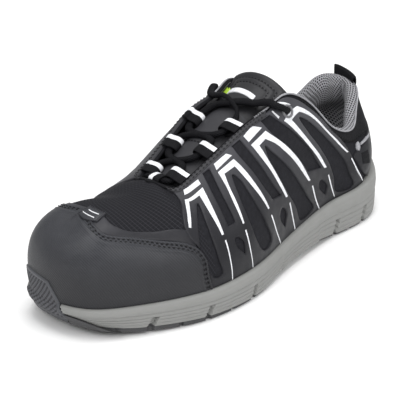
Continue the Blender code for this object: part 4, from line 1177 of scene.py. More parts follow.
# %% The cage
FILM_LIFT = 0.0003
FILM = 0.0008
FILM_TOP = FILM_LIFT + FILM
CAGE_OUTLINE = (
    (0.667, 0.006), (0.676, 0.200), (0.682, 0.320), (0.700, 0.410), (0.702, 0.490), (0.684, 0.640),
    (0.664, 0.780), (0.655, 0.880), (0.652, 0.962), (0.600, 0.968), (0.540, 0.965), (0.480, 0.965),
    (0.435, 0.978), (0.400, 0.984), (0.368, 0.972), (0.328, 0.955), (0.262, 0.958), (0.226, 0.880),
    (0.208, 0.760), (0.192, 0.575), (0.176, 0.250), (0.146, 0.006), (0.250, 0.004), (0.400, 0.004),
    (0.550, 0.004),
)
CAGE_SHARP = (0, 8, 21)  # corners of the outline, by number
CAGE_HOLES = (
    ((0.626, 0.775), (0.650, 0.640), (0.668, 0.500), (0.678, 0.390), (0.682, 0.310), (0.676, 0.215),
     (0.660, 0.090), (0.643, 0.085), (0.645, 0.250), (0.644, 0.425), (0.636, 0.605)),
    ((0.548, 0.755), (0.552, 0.580), (0.545, 0.360), (0.530, 0.185), (0.500, 0.070), (0.472, 0.080),
     (0.496, 0.270), (0.516, 0.420), (0.530, 0.560), (0.540, 0.690)),
    ((0.461, 0.768), (0.458, 0.680), (0.435, 0.515), (0.403, 0.325), (0.366, 0.150), (0.348, 0.045),
     (0.306, 0.060), (0.330, 0.190), (0.367, 0.368), (0.404, 0.530), (0.442, 0.690)),
    ((0.352, 0.825), (0.328, 0.732), (0.298, 0.650), (0.268, 0.515), (0.250, 0.325), (0.236, 0.095),
     (0.190, 0.065), (0.203, 0.312), (0.220, 0.560), (0.256, 0.755), (0.306, 0.820)),
    ((0.588, 0.940), (0.594, 0.695), (0.597, 0.450), (0.580, 0.435), (0.581, 0.680), (0.577, 0.932)),
    ((0.531, 0.940), (0.525, 0.840), (0.507, 0.660), (0.486, 0.500), (0.462, 0.375), (0.428, 0.345),
     (0.456, 0.482), (0.480, 0.640), (0.502, 0.812), (0.514, 0.935)),
    ((0.460, 0.950), (0.446, 0.868), (0.403, 0.675), (0.366, 0.540), (0.330, 0.392), (0.290, 0.425),
     (0.326, 0.600), (0.360, 0.695), (0.396, 0.800), (0.434, 0.945)),
)
SQUARE_HOLES = (4, 5, 6)
GUSSET_SLOTS = ((0.584, 0.245, 0.010, 0.085), (0.422, 0.175, 0.013, 0.075),
                (0.284, 0.215, 0.012, 0.085))


def teardrop(middle_t, middle_h, half_t, half_h, lean=0.10):
    """Slot with a round top and a pointed foot."""
    angle = math.tau * np.arange(36) / 36
    narrow = np.where(np.sin(angle) < 0, np.cos(angle) * (1 + 0.75 * np.sin(angle)), np.cos(angle))
    h = middle_h + half_h * np.sin(angle)
    return np.stack([middle_t + half_t * narrow + (h - middle_h) * lean, h], -1)


def mirrored(loop, share=1.0):
    """The same outline on the inner side, where the pattern stays lower by a share."""
    return np.stack([2.0 - loop[:, 0], loop[:, 1] * share], -1)


def traced(points):
    """Outline drawn on the fabric, moved so that the raised film is seen at the same place."""
    t, h = np.array(points, float).T
    t = t + 0.0050 * (1 - 0.5 * smooth(t, 0.50, 0.65))
    return np.stack([t, h + 0.010 * (0.9 - h) * smooth(h, 0.02, 0.15)], -1)


def cage_loops():
    loops = []
    for number, hole in enumerate(CAGE_HOLES):
        last = len(hole) - 1
        sharp = (0, last // 2, last // 2 + 1, last) if number in SQUARE_HOLES else ()
        loops.append(rounded(traced(hole), sharp=sharp))
    return loops + [teardrop(*slot) for slot in GUSSET_SLOTS]


INNER_SHARE = 0.76
cage_edge = rounded(traced(CAGE_OUTLINE), sharp=CAGE_SHARP)
outer_loops = [cage_edge] + cage_loops()
inner_loops = [mirrored(cage_edge)] + [mirrored(loop, INNER_SHARE) for loop in cage_loops()]
dress(patch("cage_film_outer", outer_loops, overlay_film, FILM, FILM_LIFT), "coated_overlay", "cage_outer")
dress(patch("cage_film_inner", inner_loops, overlay_film, FILM, FILM_LIFT), "coated_overlay", "cage_inner")

# %% [markdown]
# ## Reflective stripes
# Each pair of legs carries a light reflective stripe shaped like a roof with two long rafters, with
# a short slanted block above it and thin lines running on to the sole. They are printed tape, so they
# stand less than a fifth of a millimetre over the film.

# %% The stripes
TAPE = 0.00016
ROOFS = (
    ((0.644, 0.858), (0.664, 0.720), (0.693, 0.490), (0.686, 0.488), (0.661, 0.680), (0.639, 0.828),
     (0.614, 0.818), (0.618, 0.640), (0.619, 0.420), (0.614, 0.416), (0.608, 0.640), (0.601, 0.850)),
    ((0.569, 0.855), (0.568, 0.715), (0.568, 0.573), (0.564, 0.380), (0.560, 0.378), (0.562, 0.580),
     (0.563, 0.685), (0.561, 0.807), (0.540, 0.795), (0.532, 0.700), (0.518, 0.570), (0.500, 0.443),
     (0.483, 0.335), (0.478, 0.335), (0.492, 0.440), (0.510, 0.580), (0.524, 0.715), (0.537, 0.848)),
    ((0.496, 0.840), (0.481, 0.725), (0.459, 0.588), (0.434, 0.435), (0.409, 0.292), (0.402, 0.290),
     (0.418, 0.388), (0.440, 0.527), (0.461, 0.670), (0.477, 0.797), (0.457, 0.810), (0.431, 0.730),
     (0.401, 0.609), (0.366, 0.471), (0.329, 0.315), (0.323, 0.318), (0.353, 0.475), (0.385, 0.600),
     (0.422, 0.745), (0.453, 0.864)),
    ((0.395, 0.820), (0.365, 0.722), (0.335, 0.635), (0.306, 0.542), (0.279, 0.418), (0.272, 0.430),
     (0.294, 0.552), (0.323, 0.646), (0.351, 0.732), (0.373, 0.805), (0.352, 0.874), (0.320, 0.880),
     (0.284, 0.870), (0.249, 0.829), (0.226, 0.740), (0.207, 0.638), (0.202, 0.646), (0.219, 0.748),
     (0.241, 0.850), (0.282, 0.900), (0.320, 0.912), (0.357, 0.914)),
)
ROOF_SHARP = ((0, 2, 3, 5, 6, 8, 9, 11), (0, 3, 4, 7, 8, 12, 13, 17), (0, 4, 5, 9, 10, 14, 15, 19),
              (0, 4, 5, 9, 10, 15, 16, 21))
BLOCKS = (
    ((0.630, 0.947), (0.599, 0.929), (0.600, 0.882), (0.636, 0.902)),
    ((0.568, 0.932), (0.545, 0.925), (0.537, 0.879), (0.569, 0.876)),
    ((0.506, 0.935), (0.484, 0.958), (0.461, 0.901), (0.499, 0.869)),
    ((0.428, 0.955), (0.424, 0.952), (0.406, 0.870), (0.410, 0.863)),
    ((0.410, 0.982), (0.373, 0.920), (0.380, 0.915), (0.404, 0.955)),
)
LOWER_LINES = (
    ((0.616, 0.365), (0.617, 0.180), (0.614, 0.012)),
    ((0.561, 0.325), (0.555, 0.160), (0.545, 0.012)),
    ((0.472, 0.275), (0.450, 0.130), (0.424, 0.012)),
    ((0.394, 0.230), (0.380, 0.110), (0.366, 0.012)),
    ((0.316, 0.265), (0.302, 0.130), (0.285, 0.012)),
    ((0.266, 0.340), (0.254, 0.180), (0.241, 0.045)),
    ((0.194, 0.530), (0.178, 0.300), (0.156, 0.060)),
)


def joined(name, parts, slot):
    """One object out of several made alike."""
    with bpy.context.temp_override(active_object=parts[0], selected_editable_objects=parts):
        bpy.ops.object.join()
    parts[0].name = name
    return dress(parts[0], slot)


def make_stripes(side):
    loops = [rounded(traced(roof), 1.0, sharp=sharp) for roof, sharp in zip(ROOFS, ROOF_SHARP)]
    loops += [rounded(traced(block), 1.0, sharp=(0, 1, 2, 3)) for block in BLOCKS]
    for line in LOWER_LINES:
        path = rounded(traced(line), 1.5, False)
        loops.append(band(path, np.linspace(0.62, 0.40, len(path))))
    loops = loops if side > 0 else [mirrored(loop, INNER_SHARE) for loop in loops]
    parts = [patch("stripe", [loop], reflective, TAPE, FILM_TOP - 0.00003, 0.00022) for loop in loops]
    return joined("stripes_outer" if side > 0 else "stripes_inner", parts, "coated_overlay")


TOP_EYELET = (0.388, 0.875)
make_stripes(1)
make_stripes(-1)

# %% [markdown]
# ## The toe cap
# A tough embossed cover over the safety cap, sewn down along its swept edge with two rows of black
# thread. Its edge rolls over in a soft ridge, then dips where each row pulls it down. The grid fans
# out from the feather line, and the distance to the seam decides the relief.

# %% The cap
CAP_SEAM = ((0.666, 0.004), (0.674, 0.120), (0.677, 0.265), (0.686, 0.325), (0.704, 0.365),
            (0.745, 0.440), (0.788, 0.515), (0.828, 0.553), (0.858, 0.580), (0.884, 0.630),
            (0.898, 0.710), (0.909, 0.800), (0.920, 0.900), (0.930, 1.000))
CAP_SEAM_INNER = ((0.666, 0.004), (0.674, 0.120), (0.680, 0.265), (0.692, 0.335), (0.712, 0.405),
                  (0.748, 0.482), (0.788, 0.560), (0.825, 0.635), (0.857, 0.715), (0.882, 0.805),
                  (0.905, 0.900), (0.930, 1.000))
CAP_LIFT = 0.0003
CAP = 0.0010


def bell(value, middle, width):
    return np.exp(-((value - middle) / width)**2)


def cap_half(seam, columns):
    """Sections and heights of one side of the cap: rows fan out from the feather line."""
    ridge = np.linspace(seam[-1, 0], 1.0, 45)[1:]
    top_t = np.concatenate([seam[:, 0], ridge])
    top_h = np.concatenate([seam[:, 1], np.ones(len(ridge))])
    foot_t = CAP_SEAM[0][0] + (1.0 - CAP_SEAM[0][0]) * np.linspace(0, 1, len(top_t))**1.15
    share = 1 - np.linspace(1, 0, columns)**1.35
    t = foot_t[:, None] + (top_t - foot_t)[:, None] * share**1.5
    return t, 0.008 + (top_h[:, None] - 0.008) * share


def make_cap():
    step, columns = detail(0.9, 1.8), detail(64, 36)
    outer_t, outer_h = cap_half(rounded(CAP_SEAM, step, False), columns)
    inner_t, inner_h = cap_half(rounded(CAP_SEAM_INNER, step, False), columns)
    both_t = np.concatenate([outer_t, 2.0 - inner_t[-2::-1]])
    both_h = np.concatenate([outer_h, inner_h[-2::-1]])
    edge = rounded(CAP_SEAM, 0.35, False)
    inner_edge = rounded(CAP_SEAM_INNER, 0.35, False)
    rim = np.concatenate([skin(edge[:, 0], edge[:, 1]), skin(2 - inner_edge[:, 0], inner_edge[:, 1])])
    place = skin(both_t, both_h)
    away = nearest(rim)(place.reshape(-1, 3)).reshape(both_t.shape)
    relief = 0.00030 * bell(away, 0.0009, 0.0006) - 0.00030 * bell(away, 0.0022, 0.0006)
    relief += 0.00016 * bell(away, 0.0031, 0.0005) - 0.00028 * bell(away, 0.0039, 0.0006)
    relief += 0.00030 * bell(away, 0.0056, 0.0009)
    normal = skin_normal(both_t, both_h)
    top = place + normal * (CAP_LIFT + CAP * rolled(away, 0.0009) + relief)[..., None]
    uv = np.stack([both_t * 30.0, both_h * 8.0], -1)
    points, faces, uv = skirted(top, place - normal * RIM_SINK, uv)
    piece = add_piece("toe_cap_cover", points, faces, [cap_film], uv=uv, sharp=80.0)
    return dress(piece, "coated_overlay", "toe_cap")


make_cap()

# %% [markdown]
# Outside the seam a narrow strip of film runs up to the badge, a plain flag with two light strokes.

# %% The strip outside the cap's seam
CAP_STRIP = ((0.690, 0.335), (0.706, 0.364), (0.790, 0.513), (0.856, 0.574), (0.886, 0.625),
             (0.900, 0.700), (0.911, 0.800), (0.922, 0.900), (0.932, 0.990), (0.912, 0.985),
             (0.896, 0.900), (0.878, 0.810), (0.866, 0.715), (0.845, 0.640), (0.782, 0.578),
             (0.714, 0.492), (0.700, 0.470), (0.696, 0.420))
BADGE = ((0.975, 0.995), (0.912, 0.985), (0.873, 0.822), (0.897, 0.770), (0.930, 0.850))
BADGE_STROKES = (((0.944, 0.968), (0.924, 0.900), (0.903, 0.822)),
                 ((0.918, 0.945), (0.905, 0.890), (0.890, 0.835)))


def make_cap_strip():
    dress(patch("cap_strip_outer", [rounded(CAP_STRIP, 1.0, sharp=(0, 8, 9))], overlay_film,
                0.0006, 0.0002, 0.0006), "coated_overlay")
    inner = rounded(CAP_SEAM_INNER[3:], 1.0, False)
    widths = 3.0 * np.sin(np.linspace(0.15, math.pi * 0.8, len(inner)))
    dress(patch("cap_strip_inner", [mirrored(band(inner, widths))], overlay_film, 0.0006, 0.0002,
                0.0006), "coated_overlay")


def make_badge():
    """Plain flag shape at the cap's corner, with a light rim and two strokes."""
    shape = rounded(BADGE, 0.8, sharp=(0, 1, 2, 3))
    middle = shape.mean(0)
    inner = middle + (shape - middle) * 0.90
    height = CAP_LIFT + CAP + 0.0002
    parts = [patch("badge_plate", [inner], cap_film, 0.0004, height, 0.0003),
             patch("badge_rim", [shape, inner], overlay_film, 0.0006, height, 0.0003)]
    for stroke in BADGE_STROKES:
        path = rounded(stroke, 0.8, False)
        parts.append(patch("badge_stroke", [band(path, 0.42)], reflective, 0.0003, height + 0.0003, 0.0002))
    joined("toe_badge", parts, "coated_overlay")


make_cap_strip()
make_badge()

# %% [markdown]
# Two rows of black thread follow the seam on each side, in the dips that the cap keeps for them.

# %% The cap's stitches
def cap_row(offset, side):
    """Path of a row of stitches at a distance inside the cap's seam."""
    points = shifted(CAP_SEAM if side > 0 else CAP_SEAM_INNER, -offset)
    t, h = points[:, 0], np.clip(points[:, 1], 0.02, 1.0)
    if side < 0:
        t = 2.0 - t
    height = CAP_LIFT + CAP - 0.00010
    return layer(t, h, height), skin_normal(t, h)


cap_rows = [cap_row(offset, side) for side in (1, -1) for offset in (2.2, 3.9)]
stitches("cap_stitches", cap_rows, thread_black, 0.0030, 0.66, 0.00038, "coated_overlay")

# %% [markdown]
# ## The toe bumper
# A rubber apron moulded up over the toe from the sole, to save the cap's cover from scuffs. A smooth
# raised rim frames a panel of fine slanted ribs.

# %% The bumper
BUMPER_TOP = 0.190
PANEL_DEPTH = 0.00065
RIB_HEIGHT = 0.00045
RIB_PITCH = 0.00217


def bumper_profile(across, count):
    """Points down the front of the bumper, evenly spaced; across runs 0 to 1, outer to inner end."""
    ends = abs(2 * across - 1)
    top = BUMPER_TOP * (1 - 0.12 * ends**3)

    def section(rise):
        """The ends lean: the bumper is narrower at its top than at the sole."""
        outer, inner = BUMPER_OUTER + 0.120 * rise, BUMPER_INNER - 0.090 * rise
        return outer + (inner - outer) * across

    points = []
    for h in np.array([1.0, 0.8, 0.6, 0.4, 0.2, 0.03]) * top:
        points.append(layer(np.array(section(h)), np.array(h), CAP_LIFT + CAP + 0.0009))
    for down in (0.15, 0.35, 0.55, 0.75, 1.0):
        side = np.array(section(-0.15 * down))
        place = float(sole_out(side, down))
        out = outline(side, np.array(place + 0.0003 + 0.0009 * ends**6))
        x = outline(side, np.array(place))[0]
        lift = float(SECTION(side)[2])
        bottom = float(ground(x)) + OUTSOLE_THICKNESS * 0.35
        points.append((*out, lift + (bottom - lift) * down))
    path = smooth_path(points, 0.0004)
    reach = reached(path)
    even = np.linspace(0, reach[-1], count)
    return np.stack([np.interp(even, reach, path[:, k]) for k in range(3)], -1), reach[-1]


def make_bumper():
    columns = np.linspace(0, 1, detail(170, 90))
    count = detail(96, 50)
    made = [bumper_profile(t, count) for t in columns]
    points = np.array([m[0] for m in made])
    length = np.array([m[1] for m in made])[:, None]
    down = np.linspace(0, 1, count)[None, :] * length
    across = reached(points[:, 20])[:, None]
    normal = unit(np.cross(np.gradient(points, axis=0), np.gradient(points, axis=1)))
    if normal[len(columns) // 2, 10, 0] < 0:
        normal = -normal
    rim = np.minimum(np.minimum(across, across[-1] - across), down)
    panel = smooth(rim, 0.0022, 0.0028) * (1 - smooth(down, length * 0.80, length * 0.80 + 0.0006))
    wave = np.abs(np.mod((across + down) / (1.414 * RIB_PITCH), 1.0) - 0.5)
    ribs = RIB_HEIGHT * (1 - smooth(wave, 0.10, 0.34)) * panel
    height = -0.0014 * (1 - rolled(rim, 0.0011)) - PANEL_DEPTH * panel + ribs
    top = points + normal * height[..., None]
    made = skirted(top, points - normal * 0.0026, grid_uv(across * 100, down * 100))
    which = np.zeros(len(made[1]), int)
    which[:panel[1:, 1:].size] = (panel[:-1, :-1] > 0.5).ravel()
    piece = add_piece("bumper_apron", *made[:2], [bumper_rubber, bumper_grip], which, made[2], 80.0)
    return dress(piece, "bumper_rubber", "toe_bumper")


def make_lip():
    """Rubber of the outsole lapping up under the bumper and thinning out along the midsole."""
    for name, sections in (("toe_lip_outer", np.linspace(0.86, 0.972, 70)),
                           ("toe_lip_inner", np.linspace(1.110, 1.21, 60))):
        near = sections if sections[0] < 1 else 2.0 - sections + 0.083
        grow = smooth(near, 0.862, 0.985)
        rows = []
        for share, out in ((0.0, -0.0008), (0.0, 0.0010), (0.5, 0.0016), (1.0, 0.0010), (1.0, -0.0010)):
            down = 1.0 - grow * 0.62 * share
            place = outline(sections, sole_out(sections, down) + out)
            lift = SECTION(sections)[:, 2]
            bottom = ground(place[:, 0]) + OUTSOLE_THICKNESS * 0.35
            rows.append(np.concatenate([place, (lift + (bottom - lift) * down)[:, None]], -1))
        points = np.stack(rows, 1)
        faces = [tuple(f) for f in grid_faces(len(sections), 5, wrap_columns=True)]
        faces += end_faces(len(sections), 5)
        uv = points.reshape(-1, 3)[:, [0, 2]] * 100
        dress(add_piece(name, points.reshape(-1, 3), faces, [outsole_rubber], uv=uv), "outsole_rubber")


make_bumper()
make_lip()

# %% [markdown]
# ## The throat
# A strip of coated leather strengthens the edge of the lacing, with two rows of stitches, and a double
# cord binds the toe end of the opening, where the tongue is sewn in.

# %% The eyestay strips
for side, which_side in SIDES:
    path = ((0.664, 0.975), (0.620, 0.978), (0.560, 0.978), (0.500, 0.978), (0.448, 0.982))
    strip = band(rounded(path, 1.0, False), 2.4)
    strip = np.stack([strip[:, 0], np.minimum(strip[:, 1], 0.998)], -1)
    strip = strip if side > 0 else mirrored(strip)
    dress(patch("eyestay_" + which_side, [strip], tongue_face, 0.0010, 0.0008, 0.0008), "upper_textile")

throat_rows = []
for side in (1, -1):
    for h in (0.965, 0.988):
        path = rounded(((0.662, h), (0.620, h), (0.560, h), (0.500, h), (0.452, h)), 1.0, False)
        t = path[:, 0] if side > 0 else 2.0 - path[:, 0]
        throat_rows.append((layer(t, path[:, 1], 0.0018), skin_normal(t, path[:, 1])))
stitches("throat_stitches", throat_rows, thread_black, 0.0030, 0.62, 0.00034)

# %% [markdown]
# Two cords run around the end of the opening, one behind the other.

# %% The binding of the throat's toe end
def throat_arc(reach, height):
    outer = [(0.640 + reach * 0.3, 0.970), (0.668 + reach, 0.972), (0.688 + reach, 0.984)]
    points = [layer(np.array(t), np.array(h), height) for t, h in outer]
    ridge = [layer(np.array(0.694 + reach), np.array(1.0), height)]
    inner = [layer(np.array(2.0 - t), np.array(h), height) for t, h in reversed(outer)]
    return smooth_path(points + ridge + inner, 0.0008)


for name, reach, radius in (("throat_cord_near", 0.006, 0.0010), ("throat_cord_far", 0.016, 0.0010)):
    arc = throat_arc(reach, 0.0003)
    dress(tube(name, arc, radius, radius, (0, 0, 1.0), collar_cloth, 12), "upper_textile")

# %% [markdown]
# ## The tongue
# Padded leather, high at its free top, where an arch of foam is stitched off from the rest. It carries
# a plain woven label.

# %% The tongue
TONGUE_CROWN = 2.2
TONGUE_END = 0.2045 * SHOE_LENGTH
TONGUE_ROWS = np.array((
    # x, crown, half, drop, shift, thickness
    (0.610, 0.628, 0.40, 0.18, 0.03, 0.0022),
    (0.570, 0.635, 0.46, 0.24, 0.04, 0.0026),
    (0.515, 0.686, 0.54, 0.32, 0.04, 0.0030),
    (0.440, 0.796, 0.60, 0.38, 0.03, 0.0034),
    (0.360, 0.896, 0.60, 0.38, 0.04, 0.0040),
    (0.290, 0.966, 0.57, 0.37, 0.05, 0.0060),
    (0.245, 1.015, 0.56, 0.30, 0.080, 0.0080),
    (0.222, 1.041, 0.54, 0.23, 0.090, 0.0080),
    (0.208, 1.047, 0.53, 0.185, 0.090, 0.0056),
))


def tongue_values(x):
    """Crown, half width, drop, middle and thickness of the tongue at x, in metres."""
    rows = TONGUE_ROWS[::-1]
    share = np.asarray(x, float) / SHOE_LENGTH
    keys = np.linspace(share - 0.012, share + 0.012, 7)
    crown, half, drop, shift, thick = (np.interp(keys, rows[:, 0], rows[:, k]).mean(0)
                                       for k in range(1, 6))
    return crown * INSTEP_HEIGHT, half * THROAT_WIDTH, drop * THROAT_WIDTH, -shift * THROAT_WIDTH, thick


def tongue_point(x, share, height=0.0):
    """Point over the tongue's upper face; share runs from -1, inner edge, to 1, outer edge."""
    crown, half, drop, middle, _ = tongue_values(x)
    tilt = 0.0010 * share * (1 - smooth(np.asarray(x), 0.27 * SHOE_LENGTH, 0.34 * SHOE_LENGTH))
    z = crown - drop * np.abs(share)**TONGUE_CROWN - tilt + height
    return np.stack(np.broadcast_arrays(x, middle + share * half, z), -1)


def tongue_height(x, y):
    crown, half, drop, middle, _ = tongue_values(x)
    return crown - drop * (np.abs(y - middle) / half)**TONGUE_CROWN


def tongue_relief(x, s):
    """Padding and stitched-down channels over the tongue's face."""
    half = tongue_values(x)[1]
    rim = np.minimum(x - TONGUE_END, (1 - np.abs(s)) * half)
    top_share = 1 - smooth(x, 0.265 * SHOE_LENGTH, 0.300 * SHOE_LENGTH)
    puff = 0.0013 * bell(rim, 0.0030, 0.0024) - 0.0008 * bell(rim, 0.0062, 0.0007)
    puff = puff + 0.0004 * bell(rim, 0.0082, 0.0012) - 0.0006 * bell(rim, 0.0102, 0.0007)
    return puff * top_share - 0.0006 * bell(x, 0.430 * SHOE_LENGTH - 0.004 * s * s, 0.0008)


def make_tongue():
    xs = np.linspace(TONGUE_END, 0.610 * SHOE_LENGTH, detail(150, 80))
    across = np.sin(np.linspace(-1, 1, detail(61, 41)) * math.pi / 2)
    x, s = np.meshgrid(xs, across, indexing="ij")
    _, half, _, _, thick = tongue_values(x)
    rim = np.minimum(x - TONGUE_END, (1 - np.abs(s)) * half)
    edge = rolled(rim, 0.0022)
    top = tongue_point(x, s)
    top[..., 2] += tongue_relief(x, s) - thick * 0.38 * (1 - edge)
    bottom = tongue_point(x, s)
    bottom[..., 2] -= thick * (0.5 + 0.5 * edge)
    profile = np.concatenate([top, bottom[:, ::-1]], 1)
    rows, wide = profile.shape[:2]
    faces = [tuple(f) for f in grid_faces(rows, wide, wrap_columns=True)]
    half_wide = wide // 2
    for row in (0, rows - 1):
        base = row * wide
        faces.extend((base + k, base + k + 1, base + wide - 2 - k, base + wide - 1 - k)
                     for k in range(half_wide - 1))
    column = np.arange(wide)
    which = np.zeros(len(faces), int)
    is_lining = np.tile((column >= half_wide - 1) & (column < wide - 1), rows - 1)
    face_x = np.repeat(xs[:-1], wide)
    which[:(rows - 1) * wide] = np.where(is_lining, 1, np.where(face_x > 0.325 * SHOE_LENGTH, 2, 0))
    uv = profile[..., :2].reshape(-1, 2) * 100
    piece = add_piece("tongue_padded", profile.reshape(-1, 3), faces,
                      [tongue_leather, spacer_mesh, tongue_face], which, uv, sharp=80.0)
    return dress(piece, "upper_textile", "tongue")


make_tongue()

# %% [markdown]
# Two rows of stitches hold the padded arch, and one crosses the tongue lower down. The label is plain,
# with a lime end.

# %% The tongue's stitches and label
def on_tongue(x, s, height):
    path = tongue_point(x, s, tongue_relief(x, s) + height)
    return path, np.broadcast_to([0, 0, 1.0], path.shape)


def tongue_row(inset):
    """Row of stitches at a distance from the tongue's edge, around its free top."""
    rise = np.linspace(0.300 * SHOE_LENGTH, TONGUE_END + inset, 40)
    half = float(tongue_values(rise[-1])[1])
    edge = 1 - inset / half
    turn = np.linspace(-edge, edge, 60)
    x = np.concatenate([rise, rise[-1] + 0 * turn, rise[::-1]])
    s = np.concatenate([np.full(40, -edge), turn, np.full(40, edge)])
    return on_tongue(x, s, 0.0002)


middle_s = np.linspace(-0.95, 0.95, 60)
tongue_rows = [tongue_row(0.0062), tongue_row(0.0102),
               on_tongue(0.430 * SHOE_LENGTH - 0.004 * middle_s**2, middle_s, 0.0002)]
stitches("tongue_stitches", tongue_rows, thread_black, 0.0026, 0.62, 0.00036)


def make_label():
    """Plain woven label on the tongue: a light field with a lime end."""
    x = np.linspace(-1.0, 1.0, 12)
    s = np.linspace(-0.97, 0.36, 42)
    x, s = np.meshgrid(x, s, indexing="ij")
    x = x * np.where(s < -0.585, 0.0026, 0.0018) + 0.0790 + 0.0020 * s - 0.012 * np.maximum(-s - 0.6, 0)
    relief = tongue_relief(x, s)
    top = tongue_point(x, s, relief + 0.0006)
    points, faces, uv = skirted(top, tongue_point(x, s, relief - 0.0004), top[..., :2] * 100)
    which = np.zeros(len(faces), int)
    which[:x[1:, 1:].size] = np.tile(np.arange(x.shape[1] - 1) < 12, len(x) - 1)
    piece = add_piece("tongue_label", points, faces, [reflective, label_lime], which, uv, sharp=60.0)
    return dress(piece, "upper_textile")


make_label()

# %% [markdown]
# ## Lace loops and lace
# Webbing loops carry the lace. Each is folded around it and caught in the edge of the throat; a white
# line is woven along the side nearer the heel. The lace is a flat braid, drawn tight and tucked into the
# top eyelets.

# %% Lace loops
LACE_WIDTH = 0.0066
LACE_THICKNESS = 0.0038
LOOP_WIDTH = 0.0100
LOOP_LENGTH = 0.0132
INNER_LOOP_LENGTH = 0.0092
TOE_LOOP_LENGTH = 0.0100
LACE_REST = 0.0014
WEBBING = 0.0010
LACE_LOOPS = (0.617, 0.566, 0.514)
EYELET_RADIUS = 0.0032
EYELET_HEIGHT = 0.0012


def loop_frame(t):
    """Edge point of the throat with its directions: along the edge, across to the middle, up."""
    step = 0.004
    edge = skin(t, 1.0)
    along = unit(skin(t + step, 1.0) - skin(t - step, 1.0))
    toward = np.array([0.0, -1.0 if t < 1.0 else 1.0, 0.0])
    across = unit(toward - along * (toward @ along))
    up = np.cross(along, across)
    return edge, along, across, up if up[2] > 0 else -up


def lace_place(t):
    """Middle of the lace where it runs through the loop at section t of the throat's edge."""
    edge, _, across, _ = loop_frame(t)
    length = LOOP_LENGTH if t < 1.0 else INNER_LOOP_LENGTH
    place = edge + across * (length - WEBBING - GAP - LACE_WIDTH / 2)
    place[2] = float(tongue_height(place[0], place[1])) + WEBBING + LACE_THICKNESS / 2 + LACE_REST
    return place


def toe_lace_place():
    """Middle of the lace in the loop at the toe end of the throat."""
    edge = skin(THROAT_END, 1.0)
    x = edge[0] - TOE_LOOP_LENGTH + WEBBING + GAP + LACE_WIDTH / 2
    y = edge[1] - 0.0010
    return np.array([x, y, float(tongue_height(x, y)) + WEBBING + LACE_THICKNESS / 2 + LACE_REST])


def webbing_band(name, points, across, stripe, slot, *nodes):
    """Folded band along a path: across is half its width; stripe is the light line's span."""
    path = smooth_path(points, 0.0005)
    along = unit(np.gradient(path, axis=0))
    side = unit(np.broadcast_to(across, path.shape))
    lift = unit(np.cross(along, side))
    half = float(np.linalg.norm(across))
    s = np.concatenate([np.linspace(-1, 1, 25), np.linspace(1, -1, 25)])
    thick = np.concatenate([np.full(25, 0.5), np.full(25, -0.5)]) * WEBBING * 1.1
    thick = thick * np.sqrt(np.clip(1 - np.abs(s)**8, 0.02, 1))
    weave = np.where((s > stripe[0]) & (s < stripe[1]), 0.00010, 0.0) * np.sign(thick)
    rings = (path[:, None] + side[:, None] * (s * half)[None, :, None]
             + lift[:, None] * (thick + weave)[None, :, None])
    faces = [tuple(f) for f in grid_faces(len(path), 50, wrap_columns=True)]
    middle = (s + np.roll(s, -1)) / 2
    light = (middle > stripe[0]) & (middle < stripe[1])
    which = list(np.tile(light.astype(int), len(path) - 1)) + [0, 0]
    faces += end_faces(len(path), 50)
    uv = grid_uv(reached(path)[:, None] * 100, s * half * 100)
    piece = add_piece(name, rings.reshape(-1, 3), faces, [webbing, reflective], which, uv, sharp=70.0)
    return dress(piece, slot, *nodes)


def fold(place, back, up, a, b, wide, tall, first, last):
    """Path of a loop: from its first points around the lace at (a, b) and to its last ones."""
    turn = [(a + wide * math.sin(k), b + tall * math.cos(k)) for k in (0.8, math.pi / 2, math.pi - 0.8)]
    points = [*first, (a, b + tall), *turn, (a, b - tall), *last]
    return [place + back * p + up * q for p, q in points]


def make_side_loop(name, t, node):
    edge, along, across, up = loop_frame(t)
    lace = lace_place(t) - edge
    a, b = lace @ across, lace @ up
    wide = LACE_WIDTH / 2 + GAP + WEBBING / 2
    tall = LACE_THICKNESS / 2 + 2 * GAP + WEBBING / 2
    first = (-0.0008, 0.0016), (0.0016, 0.0022), (a * 0.5, b * 0.5 + tall * 0.85)
    last = (a * 0.5, (b - tall) * 0.5 - 0.0008), (0.0010, -UPPER_WALL + 0.0004)
    path = fold(edge, across, up, a, b, wide, tall, first, last)
    heelward = along if along[0] < 0 else -along
    return webbing_band(name, path, heelward * LOOP_WIDTH / 2, (0.14, 0.80), "lace_webbing", node)


def make_toe_loop():
    edge = skin(THROAT_END, 1.0)
    lace = toe_lace_place()
    back = np.array([-1.0, 0.0, 0.0])
    up = np.array([0.0, 0.0, 1.0])
    a = (lace - edge) @ back
    b = (lace - edge) @ up
    wide = LACE_WIDTH / 2 + GAP + WEBBING / 2
    tall = LACE_THICKNESS / 2 + GAP + WEBBING / 2
    first = (0.0004, -0.0012), (0.0010, 0.0020), (a * 0.60, b + tall * 0.98)
    last = ((0.0022, min(-0.0012, b - tall - 0.0004)),)
    path = fold(edge + [0.0, 0.0012, 0.0], back, up, a, b, wide, tall, first, last)
    return webbing_band("loop_toe", path, np.array([0.0, LOOP_WIDTH * 0.42, 0.0]), (-0.80, -0.12),
                        "lace_webbing", "lace_loop_toe")


make_toe_loop()
for number, t in enumerate(LACE_LOOPS, 1):
    make_side_loop("loop_outer_%d" % number, t, "lace_loop_outer_%d" % number)
    make_side_loop("loop_inner_%d" % number, 2.0 - t, "lace_loop_inner_%d" % number)

# %% [markdown]
# Two strands start at the toe loop and cross at each pair of loops. The first one then bends over the
# tongue to the inner eyelet, the second one lies across the label's foot to the outer eyelet.

# %% The lace
def strand(name, points, widths):
    """Length of lace: a flat oval braid along a smooth path."""
    path, share = smooth_path(points, 0.0012, widths)
    wide = LACE_WIDTH / 2 * share
    tall = LACE_THICKNESS / 2 * np.minimum(1.0, share + 0.25)
    return tube(name, path, wide, tall, (0, 0, 1.0), lace_braid, 18, square=2.6)


